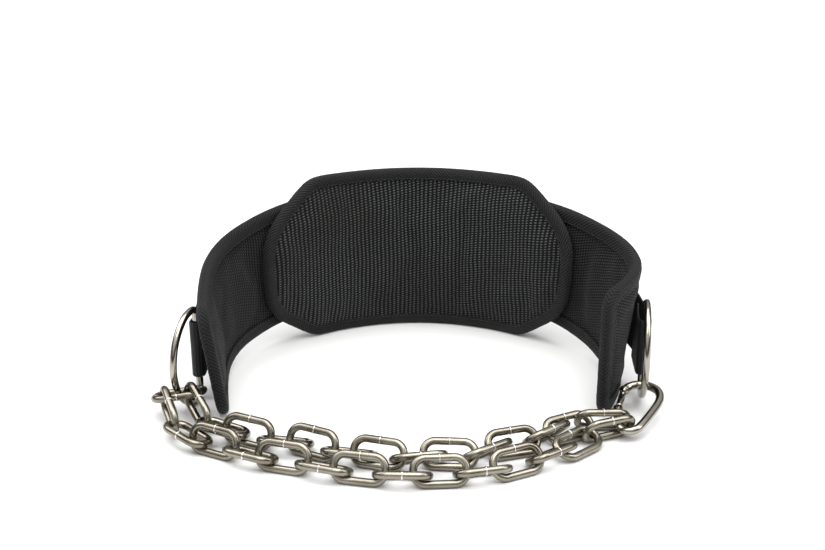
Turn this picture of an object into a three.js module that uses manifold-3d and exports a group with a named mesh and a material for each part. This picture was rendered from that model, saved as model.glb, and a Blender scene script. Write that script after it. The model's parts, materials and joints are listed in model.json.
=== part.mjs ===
import * as THREE from "three";
import { mergeVertices } from "three/addons/utils/BufferGeometryUtils.js";
import loadManifold from "manifold-3d";

// Dip belt: a padded band with a wide back pad, two D-rings on a webbing strap,
// and a welded chain that runs from one ring to a snap carabiner on the other.
// Millimetres, +X right, +Y away from the wearer's front, +Z up.

// Band
const bandLength = 634;
const bandHeight = 110;
const bandThickness = 9.5;
const bandCorner = 15;

// Back pad
const padLength = 326;
const padHeight = 152;
const padThickness = 13;

// Edge binding, folded over the edges of the band and the pad
const edgeThickness = 5;
const tapeThickness = 1.2;
const bandTapeWidth = 11;
const padTapeWidth = 9;
const padEdgeThickness = 5;
const edgeClear = 3;
const edgeSlope = 9;

// Webbing strap on the outside of the band
const strapHeight = 50;
const strapThickness = 1.6;
const strapReturn = 22;

// D-rings
const ringHeight = 86;
const ringDepth = 49;
const ringWire = 6;

// Chain
const linkCount = 29;
const linkLength = 46.5;
const linkWidth = 26;
const linkWire = 5.8;
const linkCorner = 8;
const drawnShare = 0.55;

// Carabiner
const hookLength = 68;
const hookWidth = 38;
const hookWire = 7;
const gateWire = 5.6;
const hingePin = 2.4;
const knuckleRadius = 3.7;
const knuckleThickness = 2.4;
const lugThickness = 1.7;

// Space kept between neighbouring pieces, inside the folded tape, behind the pad, under the
// strap and between moving pieces
const fitGap = 0.3;
const foldGap = 1.0;
const padGap = 0.9;
const strapGap = 1.3;
const hingeGap = 0.25;

// The bend of the band: `at` is a share of half its length from the back, `turn` the angle
// that it has turned through by then, `lean` how far its top leans outwards, both in degrees,
// `narrow` its height as a share of full, `lift` the lower edge's height as a share of its
// height beside the pad.
const leftBend = [
  { at: 0.0, turn: 0, lean: 0, narrow: 1.0, lift: 1.0 },
  { at: 0.17, turn: 18, lean: 0, narrow: 1.0, lift: 1.0 },
  { at: 0.34, turn: 34, lean: 0, narrow: 1.0, lift: 1.0 },
  { at: 0.46, turn: 41, lean: 1, narrow: 0.99, lift: 0.86 },
  { at: 0.57, turn: 52, lean: 3, narrow: 0.97, lift: 0.6 },
  { at: 0.67, turn: 74, lean: 5, narrow: 0.94, lift: 0.36 },
  { at: 0.77, turn: 91, lean: 6, narrow: 0.91, lift: 0.18 },
  { at: 0.88, turn: 97, lean: 7, narrow: 0.88, lift: 0.05 },
  { at: 1.0, turn: 99, lean: 8, narrow: 0.86, lift: 0.0 },
];
const rightBend = [
  { at: 0.0, turn: 0, lean: 0, narrow: 1.0, lift: 1.0 },
  { at: 0.17, turn: 18, lean: 0, narrow: 1.0, lift: 1.0 },
  { at: 0.34, turn: 34, lean: 0, narrow: 1.0, lift: 1.0 },
  { at: 0.46, turn: 42, lean: 2, narrow: 1.0, lift: 0.86 },
  { at: 0.57, turn: 53, lean: 5, narrow: 1.0, lift: 0.6 },
  { at: 0.67, turn: 70, lean: 8, narrow: 1.0, lift: 0.36 },
  { at: 0.76, turn: 88, lean: 8, narrow: 1.0, lift: 0.18 },
  { at: 0.88, turn: 114, lean: 4, narrow: 1.0, lift: 0.05 },
  { at: 1.0, turn: 124, lean: 0, narrow: 1.0, lift: 0.0 },
];

// One quarter of the pad's outline, as shares of half its length and half its height
const padOutline = [
  { along: 0.0, up: 1.0 },
  { along: 0.16, up: 1.0 },
  { along: 0.32, up: 1.0 },
  { along: 0.48, up: 1.0 },
  { along: 0.61, up: 1.0 },
  { along: 0.68, up: 0.975 },
  { along: 0.74, up: 0.9 },
  { along: 0.81, up: 0.785 },
  { along: 0.88, up: 0.665 },
  { along: 0.94, up: 0.53 },
  { along: 0.985, up: 0.35 },
  { along: 1.0, up: 0.14 },
];

// One half of a D-ring's wire, as shares of its depth and half its height
const ringOutline = [
  { out: 0.0, up: 0.0 },
  { out: 0.0, up: 0.45 },
  { out: 0.0, up: 0.88 },
  { out: 0.05, up: 0.97 },
  { out: 0.2, up: 1.0 },
  { out: 0.45, up: 0.95 },
  { out: 0.7, up: 0.76 },
  { out: 0.9, up: 0.46 },
  { out: 1.0, up: 0.0 },
];

// The carabiner's wire from its nose round to the hinge, as shares of its length and half its
// width: `along` from the wide end, `across` positive on the spine's side
const hookOutline = [
  { along: 0.23, across: -0.985 },
  { along: 0.17, across: -0.95 },
  { along: 0.09, across: -0.8 },
  { along: 0.02, across: -0.46 },
  { along: 0.0, across: 0.0 },
  { along: 0.03, across: 0.46 },
  { along: 0.1, across: 0.8 },
  { along: 0.22, across: 0.98 },
  { along: 0.38, across: 0.97 },
  { along: 0.62, across: 0.8 },
  { along: 0.84, across: 0.6 },
  { along: 0.95, across: 0.4 },
  { along: 1.0, across: 0.0 },
  { along: 0.96, across: -0.36 },
  { along: 0.87, across: -0.56 },
  { along: 0.73, across: -0.74 },
];
const hingeAt = { along: 0.62, across: -0.86 };

// How each ring hangs: `out` is the distance from the band's middle face to the ring's bar,
// `droop` how far the strap's free end sags, `swing` the ring's turn away from the strap in
// degrees, `rise` its height over the strap's end
const ringSeats = {
  left: { side: -1, leaves: 0.8, free: 32, out: 11, droop: 10, swing: 18, rise: -3 },
  right: { side: 1, leaves: 0.74, free: 46, out: 6, droop: 16, swing: -19, rise: 2 },
};

// Where the first link and the carabiner hang on the rings, as shares of the ring's depth and
// half height below its middle, with the directions they lie in, in degrees; `slide` is how far
// the link has slid along, as a share of its half length
const firstLinkHang = { out: 0.86, down: 0.56, slide: 0.02, heading: 2, slope: 9, tilt: -14 };
const hookHang = { out: 0.76, down: 0.7, heading: 23 };

// The two runs of chain. The first link of a run hangs on the front leg of the link on the ring,
// at `leg` of its half length, and lies in the `heading` and `slope` given in degrees; the last
// holds the carabiner with its end bar at `along` and `across` of that. Between them `across` in
// `rows` is a share of the way and `front` a share of the run's reach towards the viewer. In
// `links`, `roll` turns a link about its run, in degrees, and `kink` is how far the joint after
// it lies aside, as a share of the pitch. `slack` is the share of the pitch that the run lies
// short.
const frontRun = {
  first: { leg: -0.48, heading: -67, slope: -17 },
  last: { along: 0.865, across: 0.08, heading: 22 },
  slack: 0.12,
  rows: [
    { across: 0.07, front: 0.3 },
    { across: 0.18, front: 0.56 },
    { across: 0.32, front: 0.8 },
    { across: 0.46, front: 0.97 },
    { across: 0.6, front: 1.0 },
    { across: 0.74, front: 0.9 },
    { across: 0.88, front: 0.52 },
  ],
  links: [
    { roll: 90, kink: 0.0 },
    { roll: -16, kink: 0.0 },
    { roll: 70, kink: 0.02 },
    { roll: -22, kink: -0.03 },
    { roll: 66, kink: 0.03 },
    { roll: -26, kink: 0.0 },
    { roll: 62, kink: -0.02 },
    { roll: -30, kink: 0.0 },
    { roll: 58, kink: 0.02 },
    { roll: -32, kink: 0.0 },
    { roll: 56, kink: -0.02 },
    { roll: -34, kink: 0.0 },
    { roll: 24, kink: 0.0 },
    { roll: -64, kink: 0.0 },
  ],
};
const rearRun = {
  first: { leg: 0.56, heading: -58, slope: -22 },
  last: { along: 0.75, across: -0.22, heading: 2 },
  slack: 0.215,
  rows: [
    { across: 0.1, front: 0.24 },
    { across: 0.24, front: 0.54 },
    { across: 0.4, front: 0.9 },
    { across: 0.54, front: 1.0 },
    { across: 0.68, front: 0.96 },
    { across: 0.84, front: 0.52 },
  ],
  links: [
    { roll: 86, kink: 0.0 },
    { roll: -14, kink: 0.0 },
    { roll: 68, kink: -0.06 },
    { roll: -22, kink: 0.08 },
    { roll: 64, kink: 0.0 },
    { roll: -24, kink: 0.08 },
    { roll: 56, kink: -0.1 },
    { roll: -36, kink: 0.1 },
    { roll: 50, kink: -0.1 },
    { roll: -40, kink: 0.1 },
    { roll: 46, kink: -0.1 },
    { roll: -46, kink: 0.06 },
    { roll: 34, kink: 0.0 },
    { roll: -62, kink: 0.0 },
  ],
};

const deg = Math.PI / 180;
const zUp = new THREE.Vector3(0, 0, 1);
const halfBand = bandLength / 2;
const halfPad = padLength / 2;
const tapeOut = fitGap + tapeThickness;
const bandTapeHalf = edgeThickness / 2 + foldGap + tapeThickness;

// A smooth value of one column of a table, at a place between two rows
function columnAt(rows, key, place, column) {
  const last = rows.length - 1;
  let row = 0;
  while (row < last - 1 && place > rows[row + 1][key]) {
    row += 1;
  }
  const slopeAt = (index) => {
    const before = rows[Math.max(index - 1, 0)];
    const after = rows[Math.min(index + 1, last)];
    return (after[column] - before[column]) / (after[key] - before[key]);
  };
  const width = rows[row + 1][key] - rows[row][key];
  const t = (place - rows[row][key]) / width;
  const rise = t * t * (3 - 2 * t);
  const fromSlope = t * (1 - t) * (1 - t) * width * slopeAt(row);
  const toSlope = t * t * (t - 1) * width * slopeAt(row + 1);
  return rows[row][column] * (1 - rise) + rows[row + 1][column] * rise + fromSlope + toSlope;
}

// The plan of each half of the band, walked in short steps from the middle of the back
const planSteps = 300;
const planStep = halfBand / planSteps;

function walkPlan(rows, side) {
  const points = [new THREE.Vector2(0, 0)];
  for (let step = 0; step < planSteps; step += 1) {
    const turn = columnAt(rows, "at", (step + 0.5) / planSteps, "turn") * deg;
    const next = points[step].clone();
    next.x += side * Math.cos(turn) * planStep;
    next.y -= Math.sin(turn) * planStep;
    points.push(next);
  }
  return points;
}

const bends = {
  left: { side: -1, rows: leftBend, plan: walkPlan(leftBend, -1) },
  right: { side: 1, rows: rightBend, plan: walkPlan(rightBend, 1) },
};

// The directions and the middle point of the band at a length from the back, left negative
function bandFrame(along) {
  const bend = along < 0 ? bends.left : bends.right;
  const share = Math.min(Math.abs(along) / halfBand, 1);
  const past = Math.abs(along) - share * halfBand;
  const value = (column) => columnAt(bend.rows, "at", share, column);
  const turn = value("turn") * deg;
  const lean = value("lean") * deg;
  const onward = new THREE.Vector3(bend.side * Math.cos(turn), -Math.sin(turn), 0);
  const outward = new THREE.Vector3(bend.side * Math.sin(turn), Math.cos(turn), 0);
  const step = Math.min(Math.floor(share * planSteps), planSteps - 1);
  const rest = share * planSteps - step;
  const plan = bend.plan[step].clone().lerp(bend.plan[step + 1], rest);
  const halfHeight = (bandHeight / 2) * value("narrow");
  const lowEdge = value("lift") * ((padHeight - bandHeight) / 2);
  const underTape = (halfHeight + tapeOut) * Math.cos(lean) + bandTapeHalf * Math.sin(lean);
  const middle = new THREE.Vector3(plan.x, plan.y, lowEdge + underTape);
  middle.addScaledVector(onward, past);
  const up = zUp.clone().multiplyScalar(Math.cos(lean)).addScaledVector(outward, Math.sin(lean));
  const face = outward.clone().multiplyScalar(Math.cos(lean)).addScaledVector(zUp, -Math.sin(lean));
  return { middle, onward, outward, up, face, lean, halfHeight };
}

// A point of a flat pattern, bent round with the band: `out` is its distance off the middle face
function bent(along, height, out) {
  const frame = bandFrame(along);
  return frame.middle.addScaledVector(frame.up, height).addScaledVector(frame.face, out);
}

// A closed surface through sections with the same number of points; the two ends are capped,
// or the last section joins the first
function loft(sections, joined = false) {
  const count = sections[0].length;
  const positions = sections.flat().flatMap((point) => point.toArray());
  const triangles = [];
  const spans = joined ? sections.length : sections.length - 1;
  for (let span = 0; span < spans; span += 1) {
    const here = span * count;
    const there = ((span + 1) % sections.length) * count;
    for (let side = 0; side < count; side += 1) {
      const next = (side + 1) % count;
      triangles.push(here + side, here + next, there + next);
      triangles.push(here + side, there + next, there + side);
    }
  }
  if (!joined) {
    const lastSection = (sections.length - 1) * count;
    for (let low = 0, high = count - 1; high - low > 1; ) {
      const step = (high - low) % 2 === count % 2 ? [low, low + 1, high] : [low, high - 1, high];
      triangles.push(step[0], step[2], step[1]);
      triangles.push(lastSection + step[0], lastSection + step[1], lastSection + step[2]);
      if (step[1] === low + 1) {
        low += 1;
      } else {
        high -= 1;
      }
    }
  }
  const geometry = new THREE.BufferGeometry();
  geometry.setAttribute("position", new THREE.Float32BufferAttribute(positions, 3));
  geometry.setIndex(triangles);
  return facingOut(geometry);
}

function facingOut(geometry) {
  const position = geometry.getAttribute("position");
  const index = geometry.getIndex();
  const corner = [0, 1, 2].map(() => new THREE.Vector3());
  let volume = 0;
  for (let first = 0; first < index.count; first += 3) {
    corner.forEach((point, k) => point.fromBufferAttribute(position, index.getX(first + k)));
    volume += corner[0].dot(corner[1].clone().cross(corner[2]));
  }
  if (volume < 0) {
    for (let first = 0; first < index.count; first += 3) {
      const second = index.getX(first + 1);
      index.setX(first + 1, index.getX(first + 2));
      index.setX(first + 2, second);
    }
  }
  geometry.computeVertexNormals();
  return geometry;
}

// A round wire along a flat path, its corners mitred
function wire(points, planeNormal, radius, sides, joined) {
  const last = points.length - 1;
  const sections = points.map((point, index) => {
    const before = points[index > 0 ? index - 1 : joined ? last : 0];
    const after = points[index < last ? index + 1 : joined ? 0 : last];
    const arriving = point.clone().sub(before).normalize();
    const leaving = after.clone().sub(point).normalize();
    const along = arriving.clone().add(leaving).normalize();
    const halfTurn = arriving.lengthSq() && leaving.lengthSq() ? arriving.angleTo(leaving) / 2 : 0;
    const inPlane = along.clone().cross(planeNormal).divideScalar(Math.cos(halfTurn));
    return Array.from({ length: sides }, (_, side) => {
      const angle = ((side + 0.5) / sides) * 2 * Math.PI;
      const offset = inPlane.clone().multiplyScalar(Math.cos(angle) * radius);
      return offset.addScaledVector(planeNormal, Math.sin(angle) * radius).add(point);
    });
  });
  return loft(sections, joined);
}

// The flat pattern of a piece: its stations from left to right, its edge line all the way round,
// and the distance of any point from that edge
function pattern(stations) {
  const top = stations.map((station) => new THREE.Vector2(station.along, station.half));
  const bottom = stations.map((station) => new THREE.Vector2(station.along, -station.half));
  const edge = [...top, ...bottom.reverse()];
  const insetOf = (point) => {
    const distances = edge.map((start, index) => {
      const run = edge[(index + 1) % edge.length].clone().sub(start);
      const toPoint = point.clone().sub(start);
      const share = THREE.MathUtils.clamp(toPoint.dot(run) / run.lengthSq(), 0, 1);
      return toPoint.addScaledVector(run, -share).length();
    });
    return Math.min(...distances);
  };
  return { stations, edge, insetOf };
}

// The height at which a station lies a wanted distance inside the edge
function heightAtInset(flat, { along, half }, inset, least) {
  let low = 0;
  let high = half;
  for (let pass = 0; pass < 24; pass += 1) {
    const height = (low + high) / 2;
    if (flat.insetOf(new THREE.Vector2(along, height)) > inset) {
      low = height;
    } else {
      high = height;
    }
  }
  return Math.max(low, least * half);
}

// A padded piece of that pattern: `faces` gives its inner and outer face at a distance from the edge
function padded(flat, tapeWidth, faces) {
  const sections = flat.stations.map((station) => {
    const rim = heightAtInset(flat, station, tapeWidth + edgeClear, 0.55);
    const crown = heightAtInset(flat, station, tapeWidth + edgeClear + edgeSlope, 0.35);
    const heights = [station.half, rim, crown, crown * 0.45];
    const across = [...heights, ...heights.map((height) => -height).reverse()];
    const points = across.map((height) => {
      return { height, ...faces(flat.insetOf(new THREE.Vector2(station.along, height))) };
    });
    const inner = points.map((point) => bent(station.along, point.height, point.inner));
    const outer = points.reverse().map((point) => bent(station.along, point.height, point.outer));
    return [...inner, ...outer];
  });
  return loft(sections);
}

// A tape folded over the edge of a pattern, on both faces
function foldedTape(flat, tapeWidth, edgeHalf, middle) {
  const inside = edgeHalf + foldGap;
  const outside = inside + tapeThickness;
  const count = flat.edge.length;
  const sections = flat.edge.map((point, index) => {
    const arriving = point.clone().sub(flat.edge[(index + count - 1) % count]).normalize();
    const leaving = flat.edge[(index + 1) % count].clone().sub(point).normalize();
    const along = arriving.clone().add(leaving).normalize();
    const mitre = 1 / Math.cos(Math.acos(THREE.MathUtils.clamp(arriving.dot(leaving), -1, 1)) / 2);
    const normal = new THREE.Vector2(-along.y, along.x).multiplyScalar(mitre);
    const at = (offset, out) => bent(point.x + normal.x * offset, point.y + normal.y * offset, middle + out);
    return [
      at(-tapeWidth, -outside),
      at(tapeOut, -outside),
      at(tapeOut, outside),
      at(-tapeWidth, outside),
      at(-tapeWidth, inside),
      at(fitGap, inside),
      at(fitGap, -inside),
      at(-tapeWidth, -inside),
    ];
  });
  return loft(sections, true);
}

function easeIn(inset, from) {
  return THREE.MathUtils.smoothstep(inset, from, from + edgeSlope);
}

// Pad
const padStations = padOutline.map((row) => ({ along: row.along * halfPad, half: (row.up * padHeight) / 2 }));
const mirrored = (stations) => [
  ...stations.slice(1).reverse().map((station) => ({ ...station, along: -station.along })),
  ...stations,
];
const padPattern = pattern(mirrored(padStations));
const padBack = -(bandThickness / 2 + padGap);
const padEdgeMiddle = padBack - foldGap - tapeThickness - padEdgeThickness / 2;

function padFaces(inset) {
  const share = easeIn(inset, padTapeWidth + edgeClear);
  return {
    inner: THREE.MathUtils.lerp(padEdgeMiddle - padEdgeThickness / 2, padBack - padThickness, share),
    outer: THREE.MathUtils.lerp(padEdgeMiddle + padEdgeThickness / 2, padBack, share),
  };
}

// Band, with stations at the pad's own so that their faces bend alike
const bandStep = 15;
const straightEnd = halfBand - bandCorner;
const bandAlongs = padStations.map((station) => station.along).filter((along) => along < straightEnd - 4);
const stepsLeft = Math.max(1, Math.round((straightEnd - bandAlongs.at(-1)) / bandStep));
const firstFree = bandAlongs.at(-1);
for (let step = 1; step <= stepsLeft; step += 1) {
  bandAlongs.push(firstFree + ((straightEnd - firstFree) * step) / stepsLeft);
}

function bandSide(side) {
  const stations = bandAlongs.map((along) => ({ along: side * along, half: bandFrame(side * along).halfHeight }));
  for (const turn of [30, 60, 90]) {
    const along = side * (straightEnd + bandCorner * Math.sin(turn * deg));
    const half = bandFrame(along).halfHeight - bandCorner * (1 - Math.cos(turn * deg));
    stations.push({ along, half });
  }
  return stations;
}

const bandStations = [...bandSide(-1).slice(1).reverse(), ...bandSide(1)];
const bandPattern = pattern(bandStations);

function bandFaces(inset) {
  const share = easeIn(inset, bandTapeWidth + edgeClear);
  const half = THREE.MathUtils.lerp(edgeThickness / 2, bandThickness / 2, share);
  return { inner: -half, outer: half };
}

// Each ring's bar, the strap's way to it and the ring's own directions
function seatRing({ side, leaves, free, out, droop, swing, rise }) {
  const leave = bandAlongs.filter((along) => along <= leaves * halfBand).at(-1);
  const frame = bandFrame(side * leave);
  const bar = frame.middle.clone().addScaledVector(frame.onward, free).addScaledVector(frame.outward, out);
  bar.z -= droop;
  const middle = bar.clone().addScaledVector(zUp, rise);
  const away = frame.onward.clone().multiplyScalar(Math.cos(swing * deg));
  away.addScaledVector(frame.outward, Math.sin(swing * deg));
  return { side, leave, free, out, droop, frame, bar, middle, away };
}

const leftSeat = seatRing(ringSeats.left);
const rightSeat = seatRing(ringSeats.right);
const ringHalf = (ringHeight - ringWire) / 2;
const ringReach = ringDepth - ringWire;

function ringPoint(seat, out, up) {
  return seat.middle.clone().addScaledVector(seat.away, out * ringReach).addScaledVector(zUp, up * ringHalf);
}

function ringGeometry(seat) {
  const upper = ringOutline.map((row) => ringPoint(seat, row.out, row.up));
  const lower = ringOutline.slice(1, -1).map((row) => ringPoint(seat, row.out, -row.up));
  const normal = seat.away.clone().cross(zUp).normalize();
  return wire([...upper, ...lower.reverse()], normal, ringWire / 2, 8, true);
}

// The strap: along the band's outer face, then free to each bar, round it and back beneath
const strapOut = bandThickness / 2 + strapGap + strapThickness / 2;
const loopRadius = ringWire / 2 + foldGap + strapThickness / 2;

function strapEnd(seat) {
  const { frame, bar, free, out, droop } = seat;
  const returnFrom = free - strapReturn;
  const stationAt = (forward, offset, normal) => {
    const share = THREE.MathUtils.clamp(forward / (free - strapReturn / 2), 0, 1);
    const lean = frame.lean * (1 - share);
    const up = zUp.clone().multiplyScalar(Math.cos(lean)).addScaledVector(frame.outward, Math.sin(lean));
    const point = frame.middle.clone().addScaledVector(frame.onward, forward);
    point.addScaledVector(frame.outward, offset);
    point.z -= droop * share;
    return { point, up, normal: normal.clone().addScaledVector(up, -normal.dot(up)).normalize() };
  };
  const outer = frame.outward;
  const inner = frame.outward.clone().negate();
  const clear = strapOut + 2 * strapThickness + strapGap;
  const stations = [stationAt(returnFrom - 2, clear, outer)];
  stations.push(stationAt(returnFrom + strapReturn / 2, (clear + out + loopRadius) / 2 + 1, outer));
  for (let turn = 90; turn >= -90; turn -= 30) {
    const radial = frame.outward.clone().multiplyScalar(Math.sin(turn * deg));
    radial.addScaledVector(frame.onward, Math.cos(turn * deg));
    stations.push({ point: bar.clone().addScaledVector(radial, loopRadius), up: zUp, normal: radial });
  }
  stations.push(stationAt(returnFrom + strapReturn / 2, (strapOut + out - loopRadius) / 2, inner));
  stations.push(stationAt(returnFrom, strapOut, inner));
  return stations;
}

function strapGeometry() {
  const following = bandStations
    .map((station) => station.along)
    .filter((along) => along >= -leftSeat.leave && along <= rightSeat.leave)
    .map((along) => {
      const frame = bandFrame(along);
      return { point: bent(along, 0, strapOut), up: frame.up, normal: frame.face };
    });
  const stations = [...strapEnd(leftSeat).reverse(), ...following, ...strapEnd(rightSeat)];
  const corners = [[1, 1], [1, -1], [-1, -1], [-1, 1]];
  const sections = stations.map(({ point, up, normal }) =>
    corners.map(([high, out]) =>
      point
        .clone()
        .addScaledVector(up, (high * strapHeight) / 2)
        .addScaledVector(normal, (out * strapThickness) / 2),
    ),
  );
  return loft(sections);
}

// Carabiner: its directions follow from the ring that it hangs on and the link that it lies on
const hookReach = hookLength - hookWire;
const hookHalf = (hookWidth - hookWire) / 2;
const hookLowEnd = linkWire + fitGap + hookWire / 2;

function seatHook() {
  const hang = ringPoint(rightSeat, hookHang.out, -hookHang.down);
  const ahead = ringPoint(rightSeat, hookHang.out + 0.05, -hookHang.down + 0.055);
  const ringRun = ahead.sub(hang).normalize();
  const clearance = (hookWire + ringWire) / 2 + 2 * fitGap;
  const width = new THREE.Vector3(Math.cos(hookHang.heading * deg), -Math.sin(hookHang.heading * deg), 0);
  const axis = new THREE.Vector3(-Math.sin(hookHang.heading * deg), -Math.cos(hookHang.heading * deg), -0.3);
  let inside = clearance;
  for (let pass = 0; pass < 6; pass += 1) {
    axis.z = 0;
    axis.normalize();
    const slope = Math.asin((hang.z - hookLowEnd) / (hookReach - inside));
    axis.multiplyScalar(Math.cos(slope)).addScaledVector(zUp, -Math.sin(slope));
    inside = clearance / axis.clone().cross(ringRun).length();
  }
  const wideEnd = hang.clone().addScaledVector(axis, -inside);
  return { wideEnd, axis, width, normal: axis.clone().cross(width).normalize() };
}

const hook = seatHook();

function hookPoint(along, across) {
  const point = hook.wideEnd.clone().addScaledVector(hook.axis, along * hookReach);
  return point.addScaledVector(hook.width, across * hookHalf);
}

// Chain: links of round wire, each a rounded rectangle
const linkReach = (linkLength - linkWire) / 2;
const linkHalf = (linkWidth - linkWire) / 2;
const tautPitch = linkLength - 2 * linkWire - fitGap;

function linkPath() {
  const points = [];
  const centres = [[1, 1], [-1, 1], [-1, -1], [1, -1]];
  centres.forEach(([alongSign, acrossSign], quarter) => {
    for (const turn of [0, 45, 90]) {
      const angle = (quarter * 90 + turn) * deg;
      const along = alongSign * (linkReach - linkCorner) + linkCorner * Math.cos(angle);
      const across = acrossSign * (linkHalf - linkCorner) + linkCorner * Math.sin(angle);
      points.push(new THREE.Vector3(along, across, 0));
    }
    if (quarter % 2 === 0) {
      points.push(new THREE.Vector3(0, acrossSign * linkHalf, 0));
    }
  });
  return points;
}

const linkGeometry = wire(linkPath(), zUp, linkWire / 2, 6, true);

// A link's directions: its run, and its width rolled about the run from the level
function linkPose(centre, run, roll) {
  const level = zUp.clone().cross(run).normalize();
  const width = level.applyAxisAngle(run, roll * deg);
  return { centre, run, width, normal: run.clone().cross(width) };
}

function seatFirstLink() {
  const { out, down, slide, heading, slope, tilt } = firstLinkHang;
  const hang = ringPoint(leftSeat, out, -down);
  const ringRun = ringPoint(leftSeat, out + 0.04, -down + 0.06).sub(hang).normalize();
  const run = new THREE.Vector3(Math.cos(heading * deg), Math.sin(heading * deg), Math.tan(slope * deg));
  const pose = linkPose(hang, run.normalize(), tilt);
  const toBar = run.clone().cross(ringRun).normalize();
  const clearance = (linkWire + ringWire) / 2 + 4 * fitGap;
  const shift = linkHalf - clearance / Math.abs(pose.width.dot(toBar));
  const towardFront = pose.width.y < 0 ? 1 : -1;
  pose.centre.addScaledVector(pose.width, towardFront * shift);
  pose.centre.addScaledVector(pose.run, slide * linkReach);
  return pose;
}

const firstLink = seatFirstLink();

// How high a link's middle lies: on the floor, or on the lower wires of its upright neighbours
function restHeight(roll) {
  const tilt = Math.abs(roll) * deg;
  const onFloor = linkHalf * Math.sin(tilt);
  const onWire = (linkWire + 2 * fitGap) / Math.cos(tilt) - linkHalf * Math.sin(tilt) * Math.tan(tilt);
  return Math.max(onFloor, onWire) + linkWire / 2;
}

function direction(heading, slope) {
  const level = new THREE.Vector3(Math.cos(heading * deg), Math.sin(heading * deg), 0);
  return level.multiplyScalar(Math.cos(slope * deg)).addScaledVector(zUp, Math.sin(slope * deg));
}

// A run of links from the first link's front leg to the carabiner: its reach is found so that
// the route is as long as its links, which lie drawn together in pairs
function layRun({ first, last, slack, rows, links }) {
  const pitch = tautPitch * (1 - slack);
  const jointHeight = restHeight(45);
  const frontLeg = firstLink.width.clone().multiplyScalar(firstLink.width.y < 0 ? linkHalf : -linkHalf);
  const leg = firstLink.centre.clone().addScaledVector(firstLink.run, first.leg * linkReach).add(frontLeg);
  const firstRun = direction(first.heading, first.slope);
  const startPose = linkPose(leg, firstRun, links[0].roll);
  startPose.centre.addScaledVector(firstRun, linkReach - linkWire - 3 * fitGap);
  const lastRun = direction(last.heading, 0);
  const endPose = linkPose(hookPoint(last.along, last.across), lastRun, links.at(-1).roll);
  endPose.centre.addScaledVector(lastRun, -linkReach);
  endPose.centre.z = restHeight(links.at(-1).roll);
  const start = startPose.centre.clone().addScaledVector(firstRun, tautPitch / 2 - fitGap);
  const finish = endPose.centre.clone().addScaledVector(lastRun, -pitch / 2);
  finish.z = jointHeight;
  const between = links.slice(1, -1);
  const routeWith = (reach) => {
    const points = rows.map(({ across, front }) => {
      const point = start.clone().lerp(finish, across);
      return point.set(point.x, point.y - reach * front, jointHeight);
    });
    const curve = new THREE.CatmullRomCurve3([start, ...points, finish], false, "centripetal");
    curve.arcLengthDivisions = 400;
    return curve;
  };
  const wanted = between.length * pitch;
  let low = 0;
  let high = wanted;
  for (let pass = 0; pass < 40; pass += 1) {
    const reach = (low + high) / 2;
    if (routeWith(reach).getLength() < wanted) {
      low = reach;
    } else {
      high = reach;
    }
  }
  const route = routeWith(low);
  const kinks = [0, ...between.map((link) => link.kink)];
  const joints = kinks.map((kink, index) => {
    const share = index / between.length;
    const aside = zUp.clone().cross(route.getTangentAt(share)).normalize();
    return route.getPointAt(share).addScaledVector(aside, kink * pitch);
  });
  const drawn = (drawnShare * (tautPitch - pitch)) / 2;
  const lying = between.map(({ roll }, index) => {
    const run = joints[index + 1].clone().sub(joints[index]).normalize();
    const centre = joints[index].clone().lerp(joints[index + 1], 0.5);
    centre.z += restHeight(roll) - jointHeight;
    centre.addScaledVector(run, index % 2 === 0 ? drawn : -drawn);
    return linkPose(centre, run, roll);
  });
  return [startPose, ...lying, endPose];
}

const links = [firstLink, ...layRun(frontRun), ...layRun(rearRun)];

// Materials
const cloth = new THREE.MeshStandardMaterial({ color: 0x242525, roughness: 0.92, metalness: 0 });
const tape = new THREE.MeshStandardMaterial({ color: 0x3a3a3a, roughness: 0.8, metalness: 0 });
const webbing = new THREE.MeshStandardMaterial({ color: 0x1c1c1d, roughness: 0.85, metalness: 0 });
const nickel = new THREE.MeshStandardMaterial({ color: 0xb0aaa0, roughness: 0.28, metalness: 1 });
const steel = new THREE.MeshStandardMaterial({ color: 0xa8a297, roughness: 0.32, metalness: 1 });

const wasm = await loadManifold();
wasm.setup();

function toSolid(geometry) {
  const bare = geometry.clone();
  bare.deleteAttribute("normal");
  bare.deleteAttribute("uv");
  const merged = mergeVertices(bare, 1e-4);
  const vertProperties = Float32Array.from(merged.getAttribute("position").array);
  const triVerts = Uint32Array.from(merged.getIndex().array);
  return new wasm.Manifold(new wasm.Mesh({ numProp: 3, vertProperties, triVerts }));
}

function toGeometry(solid) {
  const { vertProperties, triVerts } = solid.getMesh();
  const geometry = new THREE.BufferGeometry();
  geometry.setAttribute("position", new THREE.BufferAttribute(Float32Array.from(vertProperties), 3));
  geometry.setIndex(new THREE.BufferAttribute(Uint32Array.from(triVerts), 1));
  geometry.computeVertexNormals();
  return geometry;
}

// Carabiner body and gate, in the hook's own directions with the hinge at the origin:
// x along the hook, y across it, z off its plane
const hinge = new THREE.Vector2(hingeAt.along * hookReach, hingeAt.across * hookHalf);
const local = (along, across) =>
  new THREE.Vector3(along * hookReach - hinge.x, across * hookHalf - hinge.y, 0);
const nose = local(hookOutline[0].along, hookOutline[0].across);
const wireEnd = local(hookOutline.at(-1).along, hookOutline.at(-1).across);
const gateRun = nose.clone().normalize();
const lugOffset = knuckleThickness / 2 + hingeGap + lugThickness / 2;

function roundBar(from, to, radius, sides) {
  const bar = new THREE.CylinderGeometry(radius, radius, from.distanceTo(to), sides);
  const turn = new THREE.Quaternion().setFromUnitVectors(
    new THREE.Vector3(0, 1, 0),
    to.clone().sub(from).normalize(),
  );
  bar.applyQuaternion(turn);
  const middle = from.clone().lerp(to, 0.5);
  return bar.translate(middle.x, middle.y, middle.z);
}

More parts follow.
